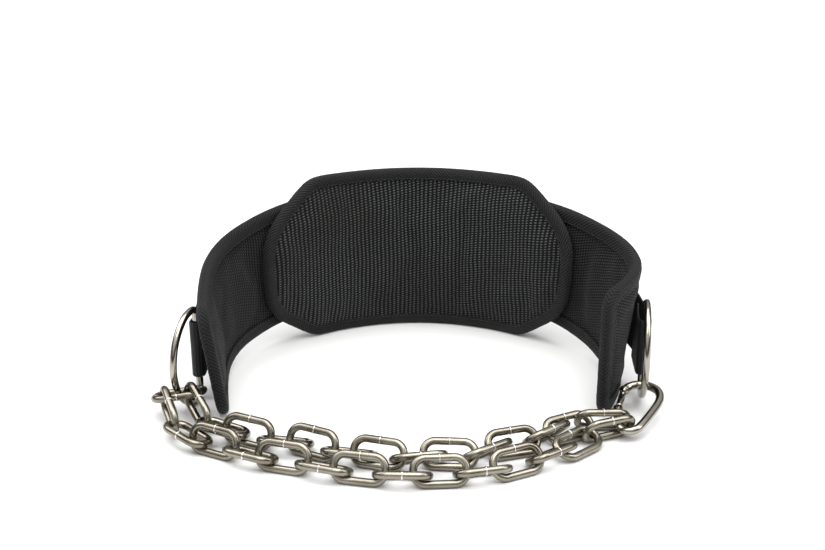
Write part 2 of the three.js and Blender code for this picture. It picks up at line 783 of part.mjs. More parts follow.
function hookBody() {
  const points = hookOutline.map((row) => local(row.along, row.across));
  const curve = new THREE.CatmullRomCurve3(points, false, "centripetal");
  const rod = wire(curve.getSpacedPoints(26), zUp, hookWire / 2, 8, false);
  let solid = toSolid(rod);
  for (const sign of [-1, 1]) {
    const level = new THREE.Vector3(0, 0, sign * lugOffset);
    const half = new THREE.Vector3(0, 0, lugThickness / 2);
    const eye = roundBar(level.clone().sub(half), level.clone().add(half), knuckleRadius, 12);
    const arm = new THREE.BoxGeometry(wireEnd.length(), 2 * knuckleRadius - 0.6, lugThickness);
    arm.rotateZ(Math.atan2(wireEnd.y, wireEnd.x));
    arm.translate(wireEnd.x / 2, wireEnd.y / 2, level.z);
    solid = solid.add(toSolid(eye)).add(toSolid(arm));
  }
  const pinHalf = new THREE.Vector3(0, 0, lugOffset + lugThickness / 2 + 0.5);
  const pin = roundBar(pinHalf.clone().negate(), pinHalf, hingePin / 2, 10);
  return toGeometry(solid.add(toSolid(pin)));
}

function hookGate() {
  const half = new THREE.Vector3(0, 0, knuckleThickness / 2);
  const eye = roundBar(half.clone().negate(), half, knuckleRadius - fitGap, 12);
  const boreHalf = half.clone().multiplyScalar(3);
  const bore = roundBar(boreHalf.clone().negate(), boreHalf, hingePin / 2 + hingeGap, 10);
  const rodStart = gateRun.clone().multiplyScalar(knuckleRadius + hingeGap + 0.6);
  const tongueStart = gateRun.clone().multiplyScalar(hingePin / 2 + 1);
  const rodEnd = nose.clone().addScaledVector(gateRun, -4 * fitGap);
  const rod = roundBar(rodStart, rodEnd, gateWire / 2, 10);
  const tongue = new THREE.BoxGeometry(rodStart.distanceTo(tongueStart) + 1, gateWire - 0.8, knuckleThickness);
  tongue.rotateZ(Math.atan2(gateRun.y, gateRun.x));
  const middle = tongueStart.clone().lerp(rodStart, 0.5).addScaledVector(gateRun, 0.5);
  tongue.translate(middle.x, middle.y, 0);
  const solid = toSolid(eye).add(toSolid(tongue)).add(toSolid(rod)).subtract(toSolid(bore));
  return toGeometry(solid);
}

// Assembly
const belt = new THREE.Group();

function addPiece(name, geometry, material, pose) {
  const mesh = new THREE.Mesh(geometry, material);
  mesh.name = name;
  if (pose) {
    mesh.position.copy(pose.centre);
    mesh.quaternion.setFromRotationMatrix(new THREE.Matrix4().makeBasis(pose.run, pose.width, pose.normal));
  }
  belt.add(mesh);
  return mesh;
}

const bandEdgeHalf = edgeThickness / 2;
addPiece("band", padded(bandPattern, bandTapeWidth, bandFaces), cloth);
addPiece("band_binding", foldedTape(bandPattern, bandTapeWidth, bandEdgeHalf, 0), tape);
addPiece("back_pad", padded(padPattern, padTapeWidth, padFaces), cloth);
addPiece("pad_binding", foldedTape(padPattern, padTapeWidth, padEdgeThickness / 2, padEdgeMiddle), tape);
addPiece("webbing_strap", strapGeometry(), webbing);
addPiece("ring_left", ringGeometry(leftSeat), nickel);
addPiece("ring_right", ringGeometry(rightSeat), nickel);

const hingePose = {
  centre: hookPoint(hingeAt.along, hingeAt.across),
  run: hook.axis,
  width: hook.width,
  normal: hook.normal,
};
addPiece("carabiner_body", hookBody(), steel, hingePose);
addPiece("carabiner_gate", hookGate(), steel, hingePose);
links.slice(0, linkCount).forEach((pose, index) => {
  addPiece(`link_${String(index + 1).padStart(2, "0")}`, linkGeometry, steel, pose);
});

// The origin is on the floor, under the middle of the whole
const bounds = new THREE.Box3().setFromObject(belt, true);
const centre = bounds.getCenter(new THREE.Vector3());
belt.position.set(-centre.x, -centre.y, -bounds.min.z);

export default belt;
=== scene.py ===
import json
import math
import bmesh
import bpy
import numpy as np
from mathutils import Matrix, Vector, noise


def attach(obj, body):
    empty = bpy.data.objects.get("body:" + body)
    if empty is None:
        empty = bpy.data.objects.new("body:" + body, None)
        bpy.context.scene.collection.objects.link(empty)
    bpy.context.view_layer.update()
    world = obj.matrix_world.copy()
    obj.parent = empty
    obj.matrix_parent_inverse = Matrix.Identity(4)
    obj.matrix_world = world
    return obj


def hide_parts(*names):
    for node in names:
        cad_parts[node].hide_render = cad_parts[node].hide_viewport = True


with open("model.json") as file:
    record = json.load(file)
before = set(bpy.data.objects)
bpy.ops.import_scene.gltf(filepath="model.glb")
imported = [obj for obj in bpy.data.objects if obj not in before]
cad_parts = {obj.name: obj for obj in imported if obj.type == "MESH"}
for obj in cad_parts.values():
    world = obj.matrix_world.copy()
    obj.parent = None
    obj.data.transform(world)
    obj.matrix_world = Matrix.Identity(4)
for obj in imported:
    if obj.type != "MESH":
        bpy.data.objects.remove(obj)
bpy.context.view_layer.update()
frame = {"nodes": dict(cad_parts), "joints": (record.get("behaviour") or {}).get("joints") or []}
scene = bpy.context.scene
print("dip belt: frame loaded")

# Camera, floor and light
studio = {
    "cameraPlace": (0.0040, -0.9987, 0.5115),
    "cameraTarget": (0.0040, 0.2674, 0.0),
    "focal": 56.73,
    "floorColour": "#E4E4E3",
    "worldHorizon": 0.05, "worldTop": 0.64,
    "suns": [
        {"from": (0.08, -0.05, 1.0), "angle": 52, "strength": 2.35},
        {"from": (-0.25, -0.95, 1.1), "angle": 80, "strength": 0.7},
    ],
    "cards": [
        {"place": (-0.75, 0.1, 0.85), "size": (0.5, 0.9), "power": 5.0},
        {"place": (0.8, -0.25, 0.7), "size": (0.35, 0.8), "power": 3.5},
        {"place": (0.0, -0.7, 1.1), "size": (0.9, 0.3), "power": 3.0},
    ],
}


def paint(code):  # sRGB hex to linear
    parts = [int(code[at:at + 2], 16) / 255 for at in (1, 3, 5)]
    return tuple(p / 12.92 if p <= 0.04045 else ((p + 0.055) / 1.055) ** 2.4 for p in parts) + (1.0,)


def addNode(tree, kind, settings=None, inputs=None):
    # an input is a value, a socket, or a node that stands for its first output
    node = tree.nodes.new(kind)
    for key, value in (settings or {}).items():
        setattr(node, key, value)
    for socket, source in (inputs or {}).items():
        if isinstance(source, bpy.types.Node):
            source = source.outputs[0]
        if isinstance(source, bpy.types.NodeSocket):
            tree.links.new(source, node.inputs[socket])
        else:
            node.inputs[socket].default_value = source
    return node


def mathNode(tree, operation, *values):
    return addNode(tree, "ShaderNodeMath", {"operation": operation}, dict(enumerate(values)))


def noiseNode(tree, vector, scale, **others):
    return addNode(tree, "ShaderNodeTexNoise", {}, {"Vector": vector, "Scale": scale, **others})


def bandNode(tree, vector, direction, spacing, **others):
    # light and dark bands, `spacing` apart in metres
    return addNode(tree, "ShaderNodeTexWave", {"wave_type": "BANDS", "bands_direction": direction}, {
        "Vector": vector, "Scale": 0.314159 / spacing, **others})


def rangeNode(tree, value, fromMin, fromMax, toMin, toMax):
    return addNode(tree, "ShaderNodeMapRange", {}, {
        "Value": value, "From Min": fromMin, "From Max": fromMax, "To Min": toMin, "To Max": toMax})


def rampNode(tree, value, stops):
    # a colour ramp through (place, colour) stops
    node = addNode(tree, "ShaderNodeValToRGB", {}, {"Fac": value})
    elements = node.color_ramp.elements
    while len(elements) > 1:
        elements.remove(elements[-1])
    elements[0].position, elements[0].color = stops[0]
    for position, colour in stops[1:]:
        elements.new(position).color = colour
    return node


def newMaterial(name):
    material = bpy.data.materials.new(name)
    material.use_nodes = True
    material.node_tree.nodes.clear()
    return material, material.node_tree


def grey(value):
    return (value, value, value, 1.0)


def endMaterial(tree, values, height=None, strength=0.0, relief=0.0):
    # bump where there is a height, then shader and output
    if height is not None:
        bump = addNode(tree, "ShaderNodeBump", {}, {"Height": height, "Strength": strength, "Distance": relief})
        values["Normal"] = bump
    shader = addNode(tree, "ShaderNodeBsdfPrincipled", {}, values)
    addNode(tree, "ShaderNodeOutputMaterial", {}, {"Surface": shader})


def lookFrom(place, target):
    return (Vector(target) - Vector(place)).to_track_quat("-Z", "Y").to_euler()


camera = bpy.data.objects.new("camera", bpy.data.cameras.new("camera"))
camera.location = studio["cameraPlace"]
camera.rotation_euler = lookFrom(studio["cameraPlace"], studio["cameraTarget"])
camera.data.sensor_width = 36
camera.data.lens = studio["focal"]
camera.data.clip_end = 60
scene.collection.objects.link(camera)
scene.camera = camera
scene.view_settings.view_transform = "Standard"


def addLamp(name, kind, strength, place, target):
    lamp = bpy.data.lights.new(name, kind)
    lamp.energy = strength
    light = bpy.data.objects.new(name, lamp)
    light.location = place
    light.rotation_euler = lookFrom(place, target)
    scene.collection.objects.link(light)
    return lamp


for number, sun in enumerate(studio["suns"]):
    lamp = addLamp(f"sun{number}", "SUN", sun["strength"], sun["from"], (0, 0, 0))
    lamp.angle = math.radians(sun["angle"])
for number, card in enumerate(studio["cards"]):
    lamp = addLamp(f"card{number}", "AREA", card["power"], card["place"], (0, 0, 0.05))
    lamp.shape = "RECTANGLE"
    lamp.size, lamp.size_y = card["size"]

world = bpy.data.worlds.new("studio")
world.use_nodes = True
tree = world.node_tree  # a dark horizon gives the wires their dark bands
tree.nodes.clear()
place = addNode(tree, "ShaderNodeTexCoord")
heights = addNode(tree, "ShaderNodeSeparateXYZ", {}, {0: place.outputs["Generated"]})
sky = addNode(tree, "ShaderNodeMapRange", {"interpolation_type": "SMOOTHSTEP"}, {
    "Value": heights.outputs[2], "From Min": 0.1, "From Max": 0.75,
    "To Min": studio["worldHorizon"], "To Max": studio["worldTop"]})
glow = addNode(tree, "ShaderNodeBackground", {}, {"Color": (1, 1, 1, 1), "Strength": sky})
addNode(tree, "ShaderNodeOutputWorld", {}, {"Surface": glow})
scene.world = world

floorMesh = bpy.data.meshes.new("floor")
floorMesh.from_pydata([(-9, -5, 0), (9, -5, 0), (9, 13, 0), (-9, 13, 0)], [], [(0, 1, 2, 3)])
floor = bpy.data.objects.new("floor", floorMesh)
scene.collection.objects.link(floor)
floorMaterial, tree = newMaterial("matt white paper")  # a matt sheet, no gloss
endMaterial(tree, {"Base Color": paint(studio["floorColour"]), "Roughness": 0.9, "Specular IOR Level": 0.1})
floorMesh.materials.append(floorMaterial)
print("camera, floor and light set")

# The belt's bend: sizes in millimetres, `left` and `right` rows hold
# share of the half length, turn, lean, height share, lift share
bend = {
    "origin": (8.8, 157.197, 0.173),
    "halfLength": 317,
    "halfHeight": 55,
    "padHalfHeight": 76,
    "edgeHalf": 2.5,
    "foldGap": 1.0,
    "tape": 1.2,
    "fitGap": 0.3,
    "left": [
        (0.0, 0, 0, 1.0, 1.0), (0.17, 18, 0, 1.0, 1.0), (0.34, 34, 0, 1.0, 1.0),
        (0.46, 41, 1, 0.99, 0.86), (0.57, 52, 3, 0.97, 0.6), (0.67, 74, 5, 0.94, 0.36),
        (0.77, 91, 6, 0.91, 0.18), (0.88, 97, 7, 0.88, 0.05), (1.0, 99, 8, 0.86, 0.0),
    ],
    "right": [
        (0.0, 0, 0, 1.0, 1.0), (0.17, 18, 0, 1.0, 1.0), (0.34, 34, 0, 1.0, 1.0),
        (0.46, 42, 2, 1.0, 0.86), (0.57, 53, 5, 1.0, 0.6), (0.67, 70, 8, 1.0, 0.36),
        (0.76, 88, 8, 1.0, 0.18), (0.88, 114, 4, 1.0, 0.05), (1.0, 124, 0, 1.0, 0.0),
    ],
}
turnColumn, leanColumn, narrowColumn, liftColumn = 1, 2, 3, 4
upward = Vector((0, 0, 1))


def columnAt(rows, place, column):
    last = len(rows) - 1
    row = 0
    while row < last - 1 and place > rows[row + 1][0]:
        row += 1

    def slope(at):
        before, after = rows[max(at - 1, 0)], rows[min(at + 1, last)]
        return (after[column] - before[column]) / (after[0] - before[0])

    width = rows[row + 1][0] - rows[row][0]
    t = (place - rows[row][0]) / width
    rise = t * t * (3 - 2 * t)
    edges = t * (1 - t) ** 2 * width * slope(row) + t * t * (t - 1) * width * slope(row + 1)
    return rows[row][column] * (1 - rise) + rows[row + 1][column] * rise + edges


def bendLine(side, rows):
    # one entry a millimetre: middle, onward, outward, up, face, lean, half height
    line = []
    spot = Vector((0.0, 0.0, 0.0))
    for step in range(bend["halfLength"] + 1):
        share = step / bend["halfLength"]
        turn = math.radians(columnAt(rows, share, turnColumn))
        lean = math.radians(columnAt(rows, share, leanColumn))
        onward = Vector((side * math.cos(turn), -math.sin(turn), 0))
        outward = Vector((side * math.sin(turn), math.cos(turn), 0))
        half = bend["halfHeight"] * columnAt(rows, share, narrowColumn)
        low = columnAt(rows, share, liftColumn) * (bend["padHalfHeight"] - bend["halfHeight"])
        tapeHalf = bend["edgeHalf"] + bend["foldGap"] + bend["tape"]
        raised = (half + bend["fitGap"] + bend["tape"]) * math.cos(lean) + tapeHalf * math.sin(lean)
        up = upward * math.cos(lean) + outward * math.sin(lean)
        face = outward * math.cos(lean) - upward * math.sin(lean)
        line.append((spot + upward * (low + raised), onward, outward, up, face, lean, half))
        midway = math.radians(columnAt(rows, min((step + 0.5) / bend["halfLength"], 1), turnColumn))
        spot = spot + Vector((side * math.cos(midway), -math.sin(midway), 0))
    return line


lines = {-1: bendLine(-1, bend["left"]), 1: bendLine(1, bend["right"])}
origin = Vector(bend["origin"])


def bandFrame(along):
    line = lines[-1 if along < 0 else 1]
    at = min(abs(along), len(line) - 1.0001)
    here, there = line[int(at)], line[int(at) + 1]
    share = at - int(at)
    mixed = [a + (b - a) * share for a, b in zip(here, there)]
    mixed[0] = mixed[0] + mixed[1] * (abs(along) - at)
    return mixed


def bent(along, height, out):  # a flat point, bent round with the band, in metres
    middle, onward, outward, up, face, lean, half = bandFrame(along)
    return (middle + up * height + face * out + origin) / 1000


def spline(points, spacing, closed):
    # Catmull-Rom through the points, then points at equal spacing along it
    points = [Vector(point) for point in points]
    count = len(points)
    dense = []
    for index in range(count if closed else count - 1):
        if closed:
            p0, p1, p2, p3 = (points[(index + k) % count] for k in (-1, 0, 1, 2))
        else:
            p0, p1, p2, p3 = (points[min(max(index + k, 0), count - 1)] for k in (-1, 0, 1, 2))
        for step in range(12):
            t = step / 12
            dense.append(0.5 * (2 * p1 + (p2 - p0) * t + (2 * p0 - 5 * p1 + 4 * p2 - p3) * t * t
                                + (3 * p1 - p0 - 3 * p2 + p3) * t ** 3))
    dense.append(points[0].copy() if closed else points[-1].copy())
    lengths = [0.0]
    for before, after in zip(dense, dense[1:]):
        lengths.append(lengths[-1] + (after - before).length)
    steps = max(3, round(lengths[-1] / spacing))
    result, at = [], 0
    for step in range(steps if closed else steps + 1):
        wanted = lengths[-1] * step / steps
        while at < len(dense) - 2 and lengths[at + 1] < wanted:
            at += 1
        span = lengths[at + 1] - lengths[at]
        result.append(dense[at].lerp(dense[at + 1], (wanted - lengths[at]) / span if span else 0))
    return result


def bandHalfAt(along):
    half = bandFrame(along)[6]
    over = abs(along) - (bend["halfLength"] - bandCloth["corner"])
    if over > 0:
        half -= bandCloth["corner"] - math.sqrt(max(bandCloth["corner"] ** 2 - over ** 2, 0))
    return half


def linkObject(name, mesh):
    made = bpy.data.objects.new(name, mesh)
    scene.collection.objects.link(made)
    return made


def closedMesh(name, points, faces, uvs):
    mesh = bpy.data.meshes.new(name)
    mesh.from_pydata(points, [], faces)
    layer = mesh.uv_layers.new(name="flat")
    for loop in mesh.loops:
        layer.data[loop.index].uv = uvs[loop.vertex_index]
    shell = bmesh.new()
    shell.from_mesh(mesh)
    bmesh.ops.remove_doubles(shell, verts=shell.verts, dist=1e-7)
    bmesh.ops.recalc_face_normals(shell, faces=shell.faces)
    shell.to_mesh(mesh)
    shell.free()
    mesh.polygons.foreach_set("use_smooth", [True] * len(mesh.polygons))
    return linkObject(name, mesh)


def tubeFaces(rings, size):
    faces = []
    for index in range(rings - 1):
        for side in range(size):
            after = (side + 1) % size
            faces.append(tuple(ring * size + spot for ring, spot in (
                (index, side), (index + 1, side), (index + 1, after), (index, after))))
    return faces


def bake(source, name):
    # the object with its modifiers, as a plain mesh
    graph = bpy.context.evaluated_depsgraph_get()
    mesh = bpy.data.meshes.new_from_object(
        source.evaluated_get(graph), preserve_all_data_layers=True, depsgraph=graph)
    old = source.data
    bpy.data.objects.remove(source)
    bpy.data.meshes.remove(old)
    mesh.name = name
    return linkObject(name, mesh)


def insetOf(flat, edge):
    # distance of each flat point from the edge line
    flat, edge = np.array(flat), np.array([tuple(point)[:2] for point in edge])
    run = np.roll(edge, -1, 0) - edge
    nearest = np.full(len(flat), 1e9)
    for start, way in zip(edge, run):
        offset = flat - start
        share = np.clip(offset @ way / (way @ way), 0, 1)
        nearest = np.minimum(nearest, np.linalg.norm(offset - share[:, None] * way, axis=1))
    return nearest


def ease(value, start, end):
    t = min(max((value - start) / (end - start), 0), 1)
    return t * t * (3 - 2 * t)


# The padding under both covers, and the ripples of the cloth over it in millimetres
padding = {
    "pressure": 4.0, "ease": 0.02, "frames": 20, "quality": 5, "mass": 0.3, "tension": 12, "bending": 0.6,
    "rippleLong": 38, "rippleHigh": 30,
}


def swell(piece, held, limits):
    # cloth simulation: the rim is held by the tape, the padding presses the faces out
    group = piece.vertex_groups.new(name="held")
    group.add([index for index, hold in enumerate(held) if hold], 1.0, "REPLACE")
    start = [vertex.co.copy() for vertex in piece.data.vertices]
    cloth = piece.modifiers.new("padding", "CLOTH")
    settings = cloth.settings
    settings.quality = padding["quality"]
    settings.mass = padding["mass"]
    settings.tension_stiffness = settings.compression_stiffness = padding["tension"]
    settings.bending_stiffness = padding["bending"]
    settings.vertex_group_mass = "held"
    settings.shrink_min = -padding["ease"]
    settings.use_pressure = True
    settings.uniform_pressure_force = padding["pressure"]
    settings.effector_weights.gravity = 0
    cloth.point_cache.frame_start = 1
    cloth.point_cache.frame_end = padding["frames"]
    for step in range(1, padding["frames"] + 1):
        scene.frame_set(step)
    graph = bpy.context.evaluated_depsgraph_get()
    swollen = [vertex.co.copy() for vertex in piece.evaluated_get(graph).data.vertices]
    piece.modifiers.remove(cloth)
    scene.frame_set(1)
    for vertex, before, after, limit in zip(piece.data.vertices, start, swollen, limits):
        move = after - before
        far = move.length
        if far > 0:  # eased off, so that no point passes its limit
            vertex.co = before + move * (limit / 1000 * math.tanh(far * 1000 / max(limit, 0.01)) / far)
    piece.vertex_groups.clear()
    piece.data.update()


def paddedPiece(name, setup, halfAt, edge, facesAt):
    # two faces of quads, joined round the rim; each point keeps its flat place for the fabric
    reach = setup["halfLength"] - setup["rim"]
    columns = round(2 * reach / setup["grid"])
    rows = setup["rows"]
    flat = []
    for column in range(columns + 1):
        along = -reach + 2 * reach * column / columns
        half = halfAt(along) - setup["rim"]
        flat += [(along, half * (2 * row / rows - 1)) for row in range(rows + 1)]
    insets = insetOf(flat, edge)
    points, uvs, facts = [], [], []
    for layer in (0, 1):
        for (along, height), inset in zip(flat, insets):
            ripple = noise.noise(Vector((along / padding["rippleLong"], height / padding["rippleHigh"],
                                         7 * layer + setup["seed"])))
            ripple *= setup["ripple"] * ease(inset, setup["tapeWidth"], setup["tapeWidth"] + 12)
            points.append(bent(along, height, facesAt(inset)[layer] + ripple))
            uvs.append((along / 1000 + 2 * layer, height / 1000))
            facts.append((along, height, inset, layer))
    size = len(flat)
    line = rows + 1
    faces = []
    for column in range(columns):
        for row in range(rows):
            a = column * line + row
            faces.append((a, a + line, a + line + 1, a + 1))
            faces.append((size + a, size + a + 1, size + a + line + 1, size + a + line))
    rim = list(range(rows + 1))
    rim += [column * line + rows for column in range(1, columns + 1)]
    rim += [columns * line + row for row in range(rows - 1, -1, -1)]
    rim += [column * line for column in range(columns - 1, 0, -1)]
    for a, b in zip(rim, rim[1:] + rim[:1]):
        faces.append((a, b, size + b, size + a))
    piece = closedMesh(name, points, faces, uvs)
    held = [inset < setup["tapeWidth"] - 1 for along, height, inset, layer in facts]
    swell(piece, held, [setup["limit"](*fact) for fact in facts])
    for vertex, fact in zip(piece.data.vertices, facts):
        depth = setup["dent"](*fact)
        if depth:
            face = bandFrame(fact[0])[4]
            vertex.co += face * (depth / 1000 * (1 if fact[3] == 0 else -1))
    divided = piece.modifiers.new("rounding", "SUBSURF")
    divided.levels = divided.render_levels = 1
    return bake(piece, name)


# Polyester knit of the pad and the band: raised upright cords of twisted yarn that read as columns of short
# light dashes; finer and darker on the band. The dashes' light and dark is painted highlight and painted shade:
# the colour follows the relief height, lighter on the raised yarn, darker in the hollows
knitLooks = {
    "pad": {"cord": 0.0042, "twist": 0.0023, "slant": -12, "relief": 0.0010,
            "low": "#020202", "middle": "#121313", "high": "#585A5A", "warm": "#14120C"},
    "band": {"cord": 0.0027, "twist": 0.0023, "slant": -26, "relief": 0.0006,
             "low": "#020202", "middle": "#0A0B0B", "high": "#3A3C3C", "warm": "#0E0D0B"},
}


def knitMaterial(name, look):
    material, tree = newMaterial(name)
    flat = addNode(tree, "ShaderNodeUVMap", {"uv_map": "flat"})
    drift = noiseNode(tree, flat, 28.0, Detail=2.0, Roughness=0.5)
    waved = addNode(tree, "ShaderNodeVectorMath", {"operation": "MULTIPLY_ADD"}, {
        0: drift.outputs["Color"], 1: (0.0035, 0.004, 0), 2: flat})
    cord = bandNode(tree, waved, "X", look["cord"])
    # a wide cord and a thin one between each two
    columns = rampNode(tree, cord.outputs["Fac"], [
        (0.0, grey(0.32)), (0.07, grey(0.24)), (0.18, grey(0.0)), (0.45, grey(0.62)),
        (0.8, grey(1.0)), (1.0, grey(1.0))])
    slanted = addNode(tree, "ShaderNodeMapping", {}, {
        "Vector": waved, "Rotation": (0, 0, math.radians(look["slant"]))})
    yarn = bandNode(tree, slanted, "Y", look["twist"])
    twist = mathNode(tree, "MULTIPLY_ADD", yarn.outputs["Fac"], 0.88, 0.12)
    raised = mathNode(tree, "MULTIPLY", columns, twist)
    fibre = noiseNode(tree, flat, 1500.0, Detail=2.0, Roughness=0.6)
    height = mathNode(tree, "MULTIPLY_ADD", fibre.outputs["Fac"], 0.22, raised)
    # painted highlight and shade: the colour follows the relief height, lighter on raised yarn, darker in the
    # hollows
    shade = rampNode(tree, height, [
        (0.08, paint(look["low"])), (0.5, paint(look["middle"])), (1.0, paint(look["high"]))])
    patch = noiseNode(tree, flat, 9.0, Detail=3.0, Roughness=0.6)
    patchRange = rangeNode(tree, patch.outputs["Fac"], 0.45, 0.75, 0.0, 0.45)
    # warm patches of wear, mixed over the painted highlight and shade
    wearOverPaintedRelief = addNode(tree, "ShaderNodeMix", {"data_type": "RGBA", "blend_type": "MIX"}, {
        "Factor": patchRange, 6: shade, 7: paint(look["warm"])})
    endMaterial(tree, {"Base Color": wearOverPaintedRelief.outputs[2], "Roughness": 0.88, "Specular IOR Level": 0.2,
                       "Sheen Weight": 0.04, "Sheen Roughness": 0.45}, height, 0.9, look["relief"])
    return material


# Binding: woven polyester twill tape, slanted ribs that meet in a herringbone where `turnAt` is on the tape; a
# little coarser than real tape so that they show. The ribs' light and dark is painted highlight and painted
# shade that follows their height
tapeLooks = {
    "pad": {"rib": 0.0031, "turnAt": -1.0, "low": "#030303", "high": "#252526", "relief": 0.0010},
    "band": {"rib": 0.0033, "turnAt": 0.0175, "low": "#030303", "high": "#212122", "relief": 0.0010},
}


def twillMaterial(name, look):
    material, tree = newMaterial(name)
    flat = addNode(tree, "ShaderNodeUVMap", {"uv_map": "flat"})
    parts = addNode(tree, "ShaderNodeSeparateXYZ", {}, {0: flat})
    across = mathNode(tree, "SUBTRACT", parts.outputs[1], look["turnAt"])
    slope = mathNode(tree, "ABSOLUTE", across)
    slanted = mathNode(tree, "ADD", parts, slope)
    turned = addNode(tree, "ShaderNodeCombineXYZ", {}, {0: slanted, 1: parts.outputs[1]})
    rib = bandNode(tree, turned, "X", look["rib"])
    thread = noiseNode(tree, flat, 1400.0, Detail=2.0, Roughness=0.6)
    height = mathNode(tree, "MULTIPLY_ADD", thread.outputs["Fac"], 0.5, rib.outputs["Fac"])
    # painted highlight and shade: lighter on the raised ribs, darker in the grooves between them
    shade = rampNode(tree, height, [(0.15, paint(look["low"])), (1.0, paint(look["high"]))])
    cloudy = noiseNode(tree, flat, 22.0, Detail=2.0)
    tone = rangeNode(tree, cloudy.outputs["Fac"], 0.3, 0.7, 0.8, 1.15)
    # random tone over the painted highlight and shade
    tonedPaintedRelief = addNode(tree, "ShaderNodeVectorMath", {"operation": "SCALE"}, {0: shade, "Scale": tone})
    endMaterial(tree, {"Base Color": tonedPaintedRelief, "Roughness": 0.75, "Specular IOR Level": 0.22,
                       "Sheen Weight": 0.03, "Sheen Roughness": 0.4}, height, 0.8, look["relief"])
    return material


# Webbing: tight flat weave, near black, its ribs across the strap and its yarns along it; its light dots are
# painted highlight on the raised weave, with painted shade between them
webbingLook = {"rib": 0.0024, "yarn": 0.0018, "low": "#040405", "high": "#262627", "relief": 0.0005}


def webbingMaterial(name, look):
    material, tree = newMaterial(name)
    flat = addNode(tree, "ShaderNodeUVMap", {"uv_map": "flat"})
    rib = bandNode(tree, flat, "X", look["rib"], Distortion=0.4)
    yarn = bandNode(tree, flat, "Y", look["yarn"])
    dots = mathNode(tree, "MULTIPLY", rib.outputs["Fac"], yarn.outputs["Fac"])
    fibre = noiseNode(tree, flat, 1500.0)
    height = mathNode(tree, "MULTIPLY_ADD", fibre.outputs["Fac"], 0.3, dots)
    # painted highlight and shade: lighter on the raised dots of the weave, darker between them
    shade = rampNode(tree, height, [(0.1, paint(look["low"])), (1.0, paint(look["high"]))])
    endMaterial(tree, {"Base Color": shade, "Roughness": 0.7, "Specular IOR Level": 0.4,
                       "Sheen Weight": 0.05}, height, 0.8, look["relief"])
    return material


def threadMaterial(name):  # bonded polyester thread, dark grey with a faint shine
    material, tree = newMaterial(name)
    place = addNode(tree, "ShaderNodeTexCoord")
    twist = noiseNode(tree, place.outputs["Object"], 900.0)
    shade = rampNode(tree, twist.outputs["Fac"], [(0.3, paint("#0C0C0C")), (0.75, paint("#242424"))])
    endMaterial(tree, {"Base Color": shade, "Roughness": 0.6, "Sheen Weight": 0.1})
    return material


# Metals: bright nickel plate on round steel wire; the chain's plate is duller and more uneven
metalLooks = {
    "nickel": {"bright": "#ABA69C", "dull": "#948E84", "smooth": 0.15, "rough": 0.19, "weld": "#B4AEA4"},
    "chain": {"bright": "#989387", "dull": "#7A7468", "smooth": 0.22, "rough": 0.3, "weld": "#E4E1DA"},
}
metalRelief = 0.00001  # metres, plated wire is nearly even


def metalMaterial(name, look):
    material, tree = newMaterial(name)
    place = addNode(tree, "ShaderNodeTexCoord")
    cloudy = noiseNode(tree, place.outputs["Object"], 40.0, Detail=2.0, Roughness=0.5)
    fine = noiseNode(tree, place.outputs["Object"], 700.0, Detail=3.0, Roughness=0.6)
    colour = rampNode(tree, cloudy.outputs["Fac"], [
        (0.35, paint(look["dull"])), (0.7, paint(look["bright"]))])
    weldMark = addNode(tree, "ShaderNodeAttribute", {"attribute_name": "weld"})
    seamed = addNode(tree, "ShaderNodeMix", {"data_type": "RGBA", "blend_type": "MIX"}, {
        "Factor": weldMark.outputs["Fac"], 6: colour, 7: paint(look["weld"])})
    roughness = rangeNode(tree, cloudy.outputs["Fac"], 0.3, 0.7, look["smooth"], look["rough"])
    both = mathNode(tree, "MULTIPLY_ADD", fine.outputs["Fac"], 0.1, cloudy.outputs["Fac"])
    endMaterial(tree, {"Base Color": seamed.outputs[2], "Metallic": 1.0, "Roughness": roughness},
                both, 0.2, metalRelief)
    return material


padKnit = knitMaterial("black cord knit, pad", knitLooks["pad"])
bandKnit = knitMaterial("black cord knit, band", knitLooks["band"])
padTwill = twillMaterial("black twill tape, pad", tapeLooks["pad"])
bandTwill = twillMaterial("black twill tape, band", tapeLooks["band"])
blackWebbing = webbingMaterial("black polyester webbing", webbingLook)
sewingThread = threadMaterial("dark sewing thread")
nickelPlate = metalMaterial("nickel plated wire", metalLooks["nickel"])
chainPlate = metalMaterial("nickel plated welded chain", metalLooks["chain"])
print("materials made")

# Padded pieces, in millimetres; `limit` is how far the padding may press a point out,
# `dent` how deep the seams behind draw it in
padCloth = {
    "halfLength": 163, "rim": 1.2, "grid": 4.0, "rows": 38, "tapeWidth": 9.0, "thickness": 13.0,
    "gapBehind": 0.9, "edgeHalf": 2.5, "ripple": 0.9, "seed": 3.0,
    "outline": [
        (0.0, 1.0), (0.16, 1.0), (0.32, 1.0), (0.48, 1.0), (0.61, 1.0), (0.68, 0.975),
        (0.74, 0.9), (0.81, 0.785), (0.88, 0.665), (0.94, 0.53), (0.985, 0.35), (1.0, 0.14),
    ],
}
bandCloth = {
    "halfLength": 317, "corner": 15, "rim": 1.2, "grid": 4.5, "rows": 26, "tapeWidth": 11.0,
    "thickness": 9.5, "edgeHalf": 2.5, "ripple": 0.8, "seed": 11.0,
}

padQuarter = [(a * padCloth["halfLength"], u * bend["padHalfHeight"], 0) for a, u in padCloth["outline"]]
padUpper = [(-a, u, 0) for a, u, z in padQuarter[:0:-1]] + padQuarter
padEdge = spline(padUpper + [(a, -u, 0) for a, u, z in padUpper[::-1]], 2.4, True)
padTop = sorted((point.x, point.y) for point in padEdge if point.y > 0 and point.x >= 0)


def padHalfAt(along):
    return float(np.interp(abs(along), *zip(*padTop)))


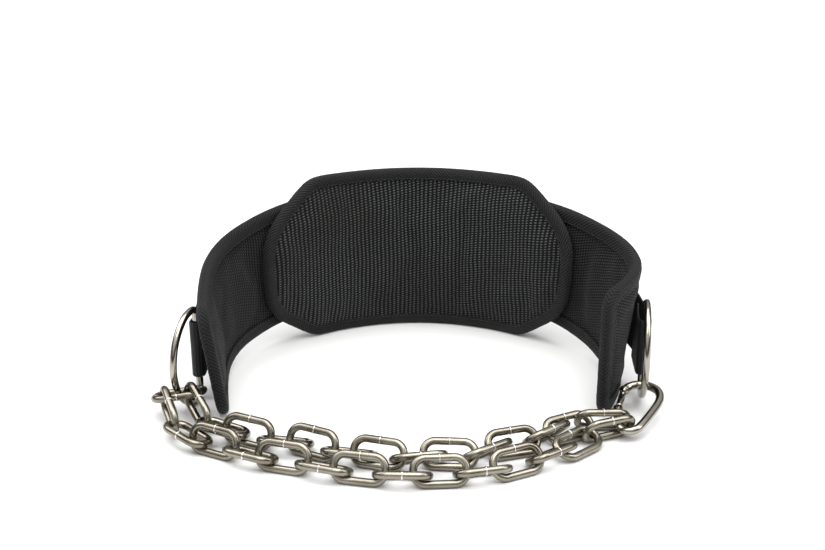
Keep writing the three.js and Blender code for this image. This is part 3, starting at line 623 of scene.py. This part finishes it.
def bandEnd(side):
    # from the upper corner's start round the end to the lower corner's
    straight = bend["halfLength"] - bandCloth["corner"]
    upper = []
    for turn in (0, 18, 36, 54, 72, 90):
        along = side * (straight + bandCloth["corner"] * math.sin(math.radians(turn)))
        high = bandFrame(along)[6] - bandCloth["corner"] * (1 - math.cos(math.radians(turn)))
        upper.append((along, high, 0))
    end, high = upper[-1][:2]
    return upper + [(end, high * share, 0) for share in (0.7, 0.35, 0.0, -0.35, -0.7)] + [
        (along, -high, 0) for along, high, z in upper[::-1]]


def bandLoop():
    straight = bend["halfLength"] - bandCloth["corner"]
    top = [(along, bandHalfAt(along), 0) for along in np.linspace(-straight, straight, 120)[1:-1]]
    return top + bandEnd(1) + [(a, -h, 0) for a, h, z in top[::-1]] + bandEnd(-1)[::-1]


bandEdge = spline(bandLoop(), 2.6, True)

padBack = -(bandCloth["thickness"] / 2 + padCloth["gapBehind"])
padMiddle = padBack - bend["foldGap"] - bend["tape"] - padCloth["edgeHalf"]


def padFaces(inset):  # where the face to the wearer and the one to the band lie
    tape = padCloth["tapeWidth"]
    front, back = padMiddle - padCloth["edgeHalf"], padMiddle + padCloth["edgeHalf"]
    full = padBack - padCloth["thickness"] + 0.6
    return (front + (full - front) * ease(inset, tape - 8, tape + 15),
            back + (padBack - back) * ease(inset, tape + 3, tape + 12))


def bandFaces(inset):
    rim, tape = bandCloth["edgeHalf"], bandCloth["tapeWidth"]
    half = rim + (bandCloth["thickness"] / 2 - 0.2 - rim) * ease(inset, tape - 2, tape + 8)
    return -half, half


def padLimit(along, height, inset, layer):
    return 0.0 if layer else 3.2 * ease(inset, 6, 20)


def bandLimit(along, height, inset, layer):
    free = ease(inset, 7, 20)
    if layer:
        return 1.6 * free * ease(abs(height), 27, 34)
    return 2.4 * free * ease(abs(along), 162, 185)


def padDent(along, height, inset, layer):
    # the band's sewn edges show through as two shallow level lines
    if layer:
        return 0.0
    near = math.exp(-((abs(height) - 49) / 3.0) ** 2)
    return 0.7 * near * ease(inset, 9, 16)


padCloth["limit"], padCloth["dent"] = padLimit, padDent
bandCloth["limit"], bandCloth["dent"] = bandLimit, lambda *fact: 0.0

backPad = paddedPiece("back_pad_cloth", padCloth, padHalfAt, padEdge, padFaces)
backPad.data.materials.append(padKnit)
band = paddedPiece("band_cloth", bandCloth, bandHalfAt, bandEdge, bandFaces)
band.data.materials.append(bandKnit)
for piece, node, cloth, finish in (
    (backPad, "back_pad", padCloth, "ribbed_cloth"), (band, "band", bandCloth, "padded_cloth")):
    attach(piece, "belt")
    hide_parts(node)
print("padded pieces made")


def edgeNormals(edge):
    count = len(edge)
    normals = []
    for index in range(count):
        way = edge[(index + 1) % count] - edge[index - 1]
        normals.append(Vector((-way.y, way.x, 0)).normalized())
    return normals


# A binding is a strip folded over the edge, a little uneven where the thread draws it in
folded = {"radius": 4.1, "wobble": 0.4, "pucker": 0.06}


def bindingPiece(name, edge, width, middle, seed):
    inside = bend["edgeHalf"] + bend["foldGap"]
    outside = inside + bend["tape"]
    beyond = bend["fitGap"] + bend["tape"]
    profile = [(-width, -inside + 0.3), (-width + 0.3, -outside + 0.35), (-width + 1.5, -outside - 0.05),
               (-width + 2.4, -outside + 0.1), (-width * 0.5, -outside - 0.45), (-2.6, -outside - 0.1)]
    for turn in (-66, -44, -22, 0, 22, 44, 66):
        angle = math.radians(turn)
        profile.append((beyond - folded["radius"] * (1 - math.cos(angle)), outside * math.sin(angle)))
    profile += [(offset, -out) for offset, out in profile[5::-1]]
    inner = [(-width + 0.2, inside), (-3.2, inside - 0.1), (-0.6, 1.9), (-0.6, -1.9),
             (-3.2, -inside + 0.1), (-width + 0.2, -inside)]
    ring = profile + inner
    across = [0.0]
    for before, after in zip(ring, ring[1:]):
        across.append(across[-1] + math.dist(before, after))
    points, uvs = [], []
    normals = edgeNormals(edge)
    travelled = 0.0
    count = len(edge)
    for index in range(count + 1):  # the last ring lies on the first, so that the weave meets
        spot, normal = edge[index % count], normals[index % count]
        if index:
            travelled += (spot - edge[index - 1]).length
        loop = 2 * math.pi * (index % count) / count
        around = Vector((math.cos(loop) * 9, math.sin(loop) * 9, seed))
        wobble = noise.noise(around * 2.0) * folded["wobble"]
        pucker = noise.noise(around * 6.0) * folded["pucker"]
        for (offset, out), side in zip(ring, across):
            deep = 1 + pucker * ease(offset, -width, -width + 3)
            shift = wobble * ease(-offset, 2, width)
            flat = spot + normal * (offset + shift)
            points.append(bent(flat.x, flat.y, middle + out * deep))
            uvs.append((travelled / 1000, side / 1000))
    return closedMesh(name, points, tubeFaces(count + 1, len(ring)), uvs), normals


padBinding, padNormals = bindingPiece("pad_binding_tape", padEdge, padCloth["tapeWidth"], padMiddle, 2.0)
padBinding.data.materials.append(padTwill)
bandBinding, bandNormals = bindingPiece("band_binding_tape", bandEdge, bandCloth["tapeWidth"], 0.0, 5.0)
bandBinding.data.materials.append(bandTwill)
for piece, node in ((padBinding, "pad_binding"), (bandBinding, "band_binding")):
    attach(piece, "belt")
    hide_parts(node)
for edge in (padEdge, bandEdge):
    print("binding", round(sum((spot - edge[at - 1]).length for at, spot in enumerate(edge))), "mm long")

# Rings, strap ends and carabiner hang from one another; millimetres and degrees
hang = {
    "ringReach": 43.0, "ringHalf": 40.0, "ringWire": 6.0,
    "left": {"side": -1, "leave": 240.222, "free": 32, "out": 11, "droop": 10, "swing": 18, "rise": -3},
    "right": {"side": 1, "leave": 224.778, "free": 46, "out": 6, "droop": 16, "swing": -19, "rise": 2},
    "ringOutline": [
        (0.0, 0.0), (0.0, 0.45), (0.0, 0.88), (0.05, 0.97), (0.2, 1.0), (0.45, 0.95),
        (0.7, 0.76), (0.9, 0.46), (1.0, 0.0),
    ],
}


def seatRing(seat):
    middle, onward, outward, up, face, lean, half = bandFrame(seat["side"] * seat["leave"])
    bar = middle + onward * seat["free"] + outward * seat["out"] - upward * seat["droop"]
    swing = math.radians(seat["swing"])
    return {**seat, "middle": middle, "onward": onward, "outward": outward, "lean": lean, "bar": bar,
            "ring": bar + upward * seat["rise"], "away": onward * math.cos(swing) + outward * math.sin(swing)}


seats = {"left": seatRing(hang["left"]), "right": seatRing(hang["right"])}


def ringPoint(seat, out, up):
    return seat["ring"] + seat["away"] * out * hang["ringReach"] + upward * up * hang["ringHalf"]


def metres(points):
    return [(Vector(point) + origin) / 1000 for point in points]


def pathObject(chains, closed, extras):
    # chains of points joined by edges, with their attributes, for the node trees below
    mesh = bpy.data.meshes.new("path")
    points, edges = [], []
    for chain in chains:
        first = len(points)
        points += [tuple(point) for point in chain]
        edges += [(first + k, first + k + 1) for k in range(len(chain) - 1)]
        if closed:
            edges.append((first + len(chain) - 1, first))
    mesh.from_pydata(points, edges, [])
    for key, (kind, values) in extras.items():
        attribute = mesh.attributes.new(key, kind, "POINT")
        field = {"FLOAT": "value", "FLOAT_VECTOR": "vector", "QUATERNION": "value"}[kind]
        flatValues = [part for value in values for part in (value if hasattr(value, "__len__") else (value,))]
        attribute.data.foreach_set(field, flatValues)
    return linkObject("path", mesh)


def newTree(name, sockets):
    tree = bpy.data.node_groups.new(name, "GeometryNodeTree")
    tree.interface.new_socket("Geometry", in_out="INPUT", socket_type="NodeSocketGeometry")
    for label, (kind, value) in sockets.items():
        socket = tree.interface.new_socket(label, in_out="INPUT", socket_type="NodeSocket" + kind)
        if value is not None:
            socket.default_value = value
    tree.interface.new_socket("Geometry", in_out="OUTPUT", socket_type="NodeSocketGeometry")
    return tree, addNode(tree, "NodeGroupInput").outputs


def closeTree(tree, geometry, material):
    smooth = addNode(tree, "GeometryNodeSetShadeSmooth", {}, {"Geometry": geometry})
    plain = addNode(tree, "GeometryNodeRealizeInstances", {}, {"Geometry": smooth})
    coated = addNode(tree, "GeometryNodeSetMaterial", {}, {
        "Geometry": plain, "Material": material})
    addNode(tree, "NodeGroupOutput", {}, {0: coated})


def grow(path, name, tree, values):
    modifier = path.modifiers.new("grow", "NODES")
    modifier.node_group = tree
    for item in tree.interface.items_tree:
        if item.item_type == "SOCKET" and item.in_out == "INPUT" and item.name in values:
            modifier[item.identifier] = values[item.name]
    return bake(path, name)


# Round wire along a path
wireTree, given = newTree("round wire", {
    "Radius": ("Float", 0.003), "Sides": ("Int", 20), "Material": ("Material", None)})
curve = addNode(wireTree, "GeometryNodeMeshToCurve", {}, {"Mesh": given["Geometry"]})
section = addNode(wireTree, "GeometryNodeCurvePrimitiveCircle", {}, {
    "Resolution": given["Sides"], "Radius": given["Radius"]})
taper = addNode(wireTree, "GeometryNodeInputNamedAttribute", {"data_type": "FLOAT"}, {"Name": "taper"})
swept = addNode(wireTree, "GeometryNodeCurveToMesh", {}, {
    "Curve": curve, "Profile Curve": section, "Scale": taper,
    "Fill Caps": True})
closeTree(wireTree, swept, given["Material"])

for side in ("left", "right"):
    seat = seats[side]
    upper = [ringPoint(seat, out, up) for out, up in hang["ringOutline"]]
    lower = [ringPoint(seat, out, -up) for out, up in hang["ringOutline"][1:-1]]
    loop = metres(spline(upper + lower[::-1], 2.0, True))
    path = pathObject([loop], True, {"taper": ("FLOAT", [1.0] * len(loop))})
    ring = grow(path, f"ring_{side}_wire", wireTree, {
        "Radius": hang["ringWire"] / 2000, "Sides": 22, "Material": nickelPlate})
    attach(ring, "belt")
    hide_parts(f"ring_{side}")
print("rings made")

# Strap: along the band, then free to each ring's bar, round it and back
strap = {"half": 25.0, "thickness": 1.6, "gap": 1.3, "return": 22.0, "fold": 1.0}
strapOut = bandCloth["thickness"] / 2 + strap["gap"] + strap["thickness"] / 2
loopRadius = hang["ringWire"] / 2 + strap["fold"] + strap["thickness"] / 2


def strapEnd(seat):
    free, out = seat["free"], seat["out"]
    backFrom = free - strap["return"]
    clear = strapOut + 2 * strap["thickness"] + strap["gap"]

    def station(forward, offset, normal):
        share = min(max(forward / (free - strap["return"] / 2), 0), 1)
        lean = seat["lean"] * (1 - share)
        up = upward * math.cos(lean) + seat["outward"] * math.sin(lean)
        point = seat["middle"] + seat["onward"] * forward + seat["outward"] * offset
        point = point - upward * seat["droop"] * share
        return point, up, (normal - up * normal.dot(up)).normalized()

    outer, inner = seat["outward"], -seat["outward"]
    half = backFrom + strap["return"] / 2
    rows = [station(backFrom - 2, clear, outer),
            station(half, (clear + out + loopRadius) / 2 + 1, outer)]
    for turn in range(90, -91, -15):
        angle = math.radians(turn)
        radial = seat["outward"] * math.sin(angle) + seat["onward"] * math.cos(angle)
        rows.append((seat["bar"] + radial * loopRadius, upward, radial))
    rows.append(station(half, (strapOut + out - loopRadius) / 2, inner))
    rows.append(station(backFrom, strapOut, inner))
    return rows


following = []
for along in np.arange(-hang["left"]["leave"], hang["right"]["leave"] + 0.1, 9.1):
    middle, onward, outward, up, face, lean, half = bandFrame(along)
    following.append((middle + face * strapOut, up, face))
stations = strapEnd(seats["left"])[::-1] + following + strapEnd(seats["right"])
strapLine = spline([row[0] for row in stations], 2.5, False)
places = [0.0]
for before, after in zip(stations, stations[1:]):
    places.append(places[-1] + (after[0] - before[0]).length)
strapPoints, strapUvs = [], []
innerEdge = [(-1.0, -0.25), (-0.985, -0.8), (-0.96, -1.0), (-0.5, -1.0), (0.0, -1.0), (0.5, -1.0),
             (0.96, -1.0), (0.985, -0.8), (1.0, -0.25)]
edgeRound = innerEdge + [(-high, -out) for high, out in innerEdge]
for index, spot in enumerate(strapLine):
    at = places[-1] * index / (len(strapLine) - 1)
    row = min(max(int(np.searchsorted(places, at)) - 1, 0), len(stations) - 2)
    share = (at - places[row]) / max(places[row + 1] - places[row], 1e-6)
    up = stations[row][1].lerp(stations[row + 1][1], min(max(share, 0), 1)).normalized()
    before, after = strapLine[max(index - 1, 0)], strapLine[min(index + 1, len(strapLine) - 1)]
    normal = (after - before).cross(up).normalized()
    for high, out in edgeRound:
        bow = 0.25 * noise.noise(Vector((at / 30, high * 1.5, 4.0)))
        point = spot + up * high * strap["half"] + normal * (out * strap["thickness"] / 2 + bow)
        strapPoints.append((point + origin) / 1000)
        strapUvs.append((at / 1000, high * strap["half"] / 1000 + (0.2 if out > 0 else 0)))
size = len(edgeRound)
strapFaces = tubeFaces(len(strapLine), size)
strapFaces += [tuple(range(size)), tuple(range(len(strapPoints) - size, len(strapPoints)))]
webbing = closedMesh("webbing_strap_weave", strapPoints, strapFaces, strapUvs)
webbing.data.materials.append(blackWebbing)
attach(webbing, "belt")
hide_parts("webbing_strap")
print("strap made,", round(places[-1]), "mm long")

# Stitches: a row along both faces of each binding, and boxes that hold the strap to the band
stitch = {
    "spacing": 3.4, "length": 2.5, "thick": 0.75, "inset": 1.6, "proud": 0.2,
    "boxLength": 34, "boxHalf": 20, "endBox": 42, "middleBox": 100.0,
}
stitchTree, given = newTree("stitches", {
    "Spacing": ("Float", 0.0033), "Length": ("Float", 0.0025), "Thickness": ("Float", 0.0006),
    "Material": ("Material", None)})
curve = addNode(stitchTree, "GeometryNodeMeshToCurve", {}, {"Mesh": given["Geometry"]})
spaced = addNode(stitchTree, "GeometryNodeResampleCurve", {"mode": "LENGTH"}, {
    "Curve": curve, "Length": given["Spacing"]})
bead = addNode(stitchTree, "GeometryNodeMeshUVSphere", {}, {"Segments": 6, "Rings": 4, "Radius": 0.5})
stretch = addNode(stitchTree, "ShaderNodeCombineXYZ", {}, {
    0: given["Length"], 1: given["Thickness"], 2: given["Thickness"]})
drawn = addNode(stitchTree, "GeometryNodeTransform", {}, {
    "Geometry": bead, "Scale": stretch})
tangent = addNode(stitchTree, "GeometryNodeInputTangent")
outwards = addNode(stitchTree, "GeometryNodeInputNamedAttribute", {"data_type": "FLOAT_VECTOR"}, {
    "Name": "off"})
alongThread = addNode(stitchTree, "FunctionNodeAlignRotationToVector", {"axis": "X"}, {
    "Vector": tangent})
offCloth = addNode(stitchTree, "FunctionNodeAlignRotationToVector", {"axis": "Z", "pivot_axis": "X"}, {
    "Rotation": alongThread, "Vector": outwards})
placed = addNode(stitchTree, "GeometryNodeInstanceOnPoints", {}, {
    "Points": spaced, "Instance": drawn, "Rotation": offCloth})
closeTree(stitchTree, placed, given["Material"])


def bindingRows(edge, normals, width, middle):
    rows, offs = [], []
    outside = bend["edgeHalf"] + bend["foldGap"] + bend["tape"]
    for side in (-1, 1):
        row = []
        for spot, normal in zip(edge, normals):
            flat = spot - normal * (width - stitch["inset"])
            row.append(bent(flat.x, flat.y, middle + side * (outside + stitch["proud"])))
            offs.append(bandFrame(flat.x)[4] * side)
        rows.append(row)
    return rows, offs


stitchPlan = {
    "pad_binding_stitches": bindingRows(padEdge, padNormals, padCloth["tapeWidth"], padMiddle),
    "band_binding_stitches": bindingRows(bandEdge, bandNormals, bandCloth["tapeWidth"], 0.0),
}
boxes, boxOffs = [], []
for side, leave in ((-1, hang["left"]["leave"]), (1, hang["right"]["leave"])):
    for start in (leave - stitch["endBox"], stitch["middleBox"]):
        row = []
        finish, high = start + stitch["boxLength"], stitch["boxHalf"]
        corners = [(start, -high), (finish, -high), (finish, high), (start, high), (start, -high)]
        for (a0, h0), (a1, h1) in zip(corners, corners[1:]):
            for step in range(8):
                along, height = a0 + (a1 - a0) * step / 8, h0 + (h1 - h0) * step / 8
                row.append(bent(side * along, height, strapOut + strap["thickness"] / 2 + 0.12))
                boxOffs.append(bandFrame(side * along)[4])
        boxes.append(row)
stitchPlan["strap_stitches"] = (boxes, boxOffs)
for name, (rows, offs) in stitchPlan.items():
    path = pathObject(rows, True, {"off": ("FLOAT_VECTOR", offs)})
    sewn = grow(path, name, stitchTree, {
        "Spacing": stitch["spacing"] / 1000, "Length": stitch["length"] / 1000,
        "Thickness": stitch["thick"] / 1000, "Material": sewingThread})
    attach(sewn, "belt")
print("stitches made")

# Carabiner, in its own directions with the hinge at the origin: x along, y across, z off its plane
hook = {
    "reach": 61.0, "half": 15.5, "wire": 7.0, "gateWire": 5.6, "knuckle": 3.7, "lug": 1.7,
    "knuckleThick": 2.4, "hingeGap": 0.25, "hangOut": 0.76, "hangDown": 0.7, "heading": 23,
    "hinge": (0.62, -0.86), "linkWire": 5.8,
    "outline": [
        (0.23, -0.985), (0.17, -0.95), (0.09, -0.8), (0.02, -0.46), (0.0, 0.0), (0.03, 0.46), (0.1, 0.8),
        (0.22, 0.98), (0.38, 0.97), (0.62, 0.8), (0.84, 0.6), (0.95, 0.4), (1.0, 0.0), (0.96, -0.36),
        (0.87, -0.56), (0.73, -0.74),
    ],
}


def seatHook():
    hung = ringPoint(seats["right"], hook["hangOut"], -hook["hangDown"])
    ahead = ringPoint(seats["right"], hook["hangOut"] + 0.05, -hook["hangDown"] + 0.055)
    ringRun = (ahead - hung).normalized()
    clearance = (hook["wire"] + hang["ringWire"]) / 2 + 2 * bend["fitGap"]
    heading = math.radians(hook["heading"])
    width = Vector((math.cos(heading), -math.sin(heading), 0))
    level = Vector((-math.sin(heading), -math.cos(heading), 0))
    lowEnd = hook["linkWire"] + bend["fitGap"] + hook["wire"] / 2
    inside = clearance
    for turn in range(6):
        slope = math.asin((hung.z - lowEnd) / (hook["reach"] - inside))
        axis = level * math.cos(slope) - upward * math.sin(slope)
        inside = clearance / axis.cross(ringRun).length
    return hung - axis * inside, axis, width, axis.cross(width).normalized()


wideEnd, hookAxis, hookWidth, hookNormal = seatHook()
hingeSpot = (wideEnd + hookAxis * hook["hinge"][0] * hook["reach"]
             + hookWidth * hook["hinge"][1] * hook["half"])
jointSpot = Vector(frame["joints"][0]["pos_m"])
print("hinge off by", round(((hingeSpot + origin) / 1000 - jointSpot).length * 1000, 3), "mm")
hookPlace = Matrix((hookAxis, hookWidth, hookNormal)).transposed().to_4x4()
hookPlace.translation = (hingeSpot + origin) / 1000


def hookLocal(along, across):
    return Vector(((along - hook["hinge"][0]) * hook["reach"], (across - hook["hinge"][1]) * hook["half"], 0))


def inHook(points):
    return [hookPlace @ (Vector(point) / 1000) for point in points]


def skin(shell, layers):
    # side faces between rings of corners, and a cap on each end
    count = len(layers[0])
    for low, high in zip(layers, layers[1:]):
        for index in range(count):
            after = (index + 1) % count
            shell.faces.new((low[index], low[after], high[after], high[index]))
    shell.faces.new(layers[0][::-1])
    shell.faces.new(layers[-1])


def turnedPart(shell, profile, start, along, sides=24):
    # a round part about an axis, from (place along, radius) rows
    along = along.normalized()
    across = along.orthogonal().normalized()
    beside = along.cross(across)
    rings = []
    for place, radius in profile:
        ring = []
        for side in range(sides):
            angle = 2 * math.pi * side / sides
            point = start + along * place + (across * math.cos(angle) + beside * math.sin(angle)) * radius
            ring.append(shell.verts.new(hookPlace @ (point / 1000)))
        rings.append(ring)
    skin(shell, rings)


def plate(shell, start, end, radius, middle, thickness):
    # a flat lug with round ends and softened edges
    way = (end - start).normalized()
    side = Vector((-way.y, way.x, 0))
    outline = []
    for centre, first in ((end, 90), (start, 270)):
        for step in range(9):
            angle = math.radians(first - 180 * step / 8)
            outline.append((centre, way * math.cos(angle) + side * math.sin(angle)))
    layers = []
    for level, shrink in ((-0.5, 0.3), (-0.36, 0.0), (0.36, 0.0), (0.5, 0.3)):
        lift = Vector((0, 0, middle + level * thickness))
        layers.append([shell.verts.new(hookPlace @ ((centre + off * (radius - shrink) + lift) / 1000))
                       for centre, off in outline])
    skin(shell, layers)


def finishShell(shell, name, material):
    bmesh.ops.recalc_face_normals(shell, faces=shell.faces)
    mesh = bpy.data.meshes.new(name)
    shell.to_mesh(mesh)
    shell.free()
    made = linkObject(name, mesh)
    mesh.polygons.foreach_set("use_smooth", [True] * len(mesh.polygons))
    mesh.set_sharp_from_angle(angle=math.radians(42))
    mesh.materials.append(material)
    return made


nose = hookLocal(*hook["outline"][0])
wireEnd = hookLocal(*hook["outline"][-1])
gateRun = nose.normalized()
wireLine = spline([hookLocal(*row) for row in hook["outline"]], 1.2, False)
tapers = []  # both ends of the wire are rounded off
for index in range(len(wireLine)):
    fromNose = (wireLine[index] - wireLine[0]).length
    fromEnd = (wireLine[index] - wireLine[-1]).length
    near = min(fromNose, fromEnd * 1.2) if index < 4 or index > len(wireLine) - 4 else 9
    tapers.append(max(0.62, math.sqrt(max(0.0, 1 - (1 - min(near / 2.2, 1)) ** 2))))
path = pathObject([inHook(wireLine)], False, {"taper": ("FLOAT", tapers)})
hookWire = grow(path, "carabiner_wire", wireTree, {
    "Radius": hook["wire"] / 2000, "Sides": 24, "Material": nickelPlate})
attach(hookWire, "belt")
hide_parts("carabiner_body")

shell = bmesh.new()
lugOffset = hook["knuckleThick"] / 2 + hook["hingeGap"] + hook["lug"] / 2
for side in (-1, 1):
    plate(shell, Vector((0, 0, 0)), wireEnd * 1.12, hook["knuckle"], side * lugOffset, hook["lug"])
reachOut = lugOffset + hook["lug"] / 2
pinRows = [(-reachOut - 0.6, 0.7), (-reachOut - 0.45, 1.5), (-reachOut, 1.7), (-reachOut + 0.05, 1.2),
           (reachOut - 0.05, 1.2), (reachOut, 1.7), (reachOut + 0.45, 1.5), (reachOut + 0.6, 0.7)]
turnedPart(shell, pinRows, Vector((0, 0, 0)), Vector((0, 0, 1)), 16)
noseWay = (wireLine[3] - wireLine[0]).normalized()
turnedPart(shell, [(1.4, 3.5), (1.5, 3.95), (2.0, 4.15), (3.1, 4.15), (3.6, 3.95), (3.7, 3.5)],
           wireLine[0], noseWay)  # a collar behind the nose
hinges = finishShell(shell, "carabiner_hinge", nickelPlate)
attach(hinges, "belt")

shell = bmesh.new()
rodStart = hook["knuckle"] + hook["hingeGap"] + 0.2
rodEnd = nose.length - 1.2
rod = hook["gateWire"] / 2
rodRows = [(rodStart, rod - 0.7), (rodStart + 0.5, rod - 0.15), (rodStart + 1.2, rod),
           (rodEnd - 4.2, rod), (rodEnd - 3.9, rod - 0.25), (rodEnd - 3.5, rod - 0.25), (rodEnd - 3.2, rod),
           (rodEnd - 0.7, rod), (rodEnd - 0.2, rod - 0.3), (rodEnd, rod - 0.8)]
turnedPart(shell, rodRows, Vector((0, 0, 0)), gateRun)
plate(shell, Vector((0, 0, 0)), gateRun * (rodStart + 2.5), 2.4, 0.0, hook["knuckleThick"])
turnedPart(shell, [(-1.2, 3.1), (-1.05, 3.4), (1.05, 3.4), (1.2, 3.1)],
           Vector((0, 0, 0)), Vector((0, 0, 1)))
gate = finishShell(shell, "carabiner_gate_rod", nickelPlate)
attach(gate, "gate")
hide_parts("carabiner_gate")
print("carabiner made")

# Chain: one welded link, laid where each of the frame's links lies
chain = {"length": 46.5, "width": 26.0, "wire": 6.2, "corner": 9.2, "weld": 0.55}
spots, turns, linkNames = [], [], []
for name in sorted(frame["nodes"]):
    if not name.startswith("link_"):
        continue
    corners = np.array([vertex.co for vertex in frame["nodes"][name].data.vertices])
    spread, ways = np.linalg.eigh(np.cov((corners - corners.mean(0)).T))
    run, across = Vector(ways[:, 2]), Vector(ways[:, 1])
    run = run if run.x > 0 else -run
    across = across if across.z > 0 else -across
    pose = Matrix((run, across, run.cross(across))).transposed()
    spots.append(tuple(corners.mean(0)))
    turns.append(tuple(pose.to_quaternion()))
    linkNames.append(name)

linkTree, given = newTree("welded links", {
    "Length": ("Float", 0.0407), "Width": ("Float", 0.0202), "Corner": ("Float", 0.008),
    "Wire radius": ("Float", 0.0029), "Weld radius": ("Float", 0.0004), "Material": ("Material", None)})
outline = addNode(linkTree, "GeometryNodeCurvePrimitiveQuadrilateral", {}, {
    "Width": given["Length"], "Height": given["Width"]})
rounded = addNode(linkTree, "GeometryNodeFilletCurve", {"mode": "POLY"}, {
    "Curve": outline, "Radius": given["Corner"], "Count": 9})
section = addNode(linkTree, "GeometryNodeCurvePrimitiveCircle", {}, {
    "Resolution": 16, "Radius": given["Wire radius"]})
body = addNode(linkTree, "GeometryNodeCurveToMesh", {}, {
    "Curve": rounded, "Profile Curve": section})
weldRing = addNode(linkTree, "GeometryNodeCurvePrimitiveCircle", {}, {
    "Resolution": 18, "Radius": given["Wire radius"]})
weldSection = addNode(linkTree, "GeometryNodeCurvePrimitiveCircle", {}, {
    "Resolution": 8, "Radius": given["Weld radius"]})
weld = addNode(linkTree, "GeometryNodeCurveToMesh", {}, {
    "Curve": weldRing, "Profile Curve": weldSection})
halfWidth = addNode(linkTree, "ShaderNodeMath", {"operation": "MULTIPLY"}, {0: given["Width"], 1: 0.5})
weldSpot = addNode(linkTree, "ShaderNodeCombineXYZ", {}, {1: halfWidth})
weldMarked = addNode(linkTree, "GeometryNodeStoreNamedAttribute", {"data_type": "FLOAT", "domain": "POINT"}, {
    "Geometry": weld, "Name": "weld", "Value": 1.0})
weldPlaced = addNode(linkTree, "GeometryNodeTransform", {}, {
    "Geometry": weldMarked, "Translation": weldSpot, "Rotation": (0, math.pi / 2, 0)})
joined = addNode(linkTree, "GeometryNodeJoinGeometry")
linkTree.links.new(weldPlaced.outputs[0], joined.inputs[0])
linkTree.links.new(body.outputs[0], joined.inputs[0])
turned = addNode(linkTree, "GeometryNodeInputNamedAttribute", {"data_type": "QUATERNION"}, {"Name": "turn"})
laid = addNode(linkTree, "GeometryNodeInstanceOnPoints", {}, {
    "Points": given["Geometry"], "Instance": joined, "Rotation": turned})
closeTree(linkTree, laid, given["Material"])

path = pathObject([spots], False, {"turn": ("QUATERNION", turns)})
links = grow(path, "chain_links", linkTree, {
    "Length": (chain["length"] - chain["wire"]) / 1000, "Width": (chain["width"] - chain["wire"]) / 1000,
    "Corner": chain["corner"] / 1000, "Wire radius": chain["wire"] / 2000,
    "Weld radius": chain["weld"] / 1000, "Material": chainPlate})
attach(links, "belt")
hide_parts(*linkNames)
print("chain made")
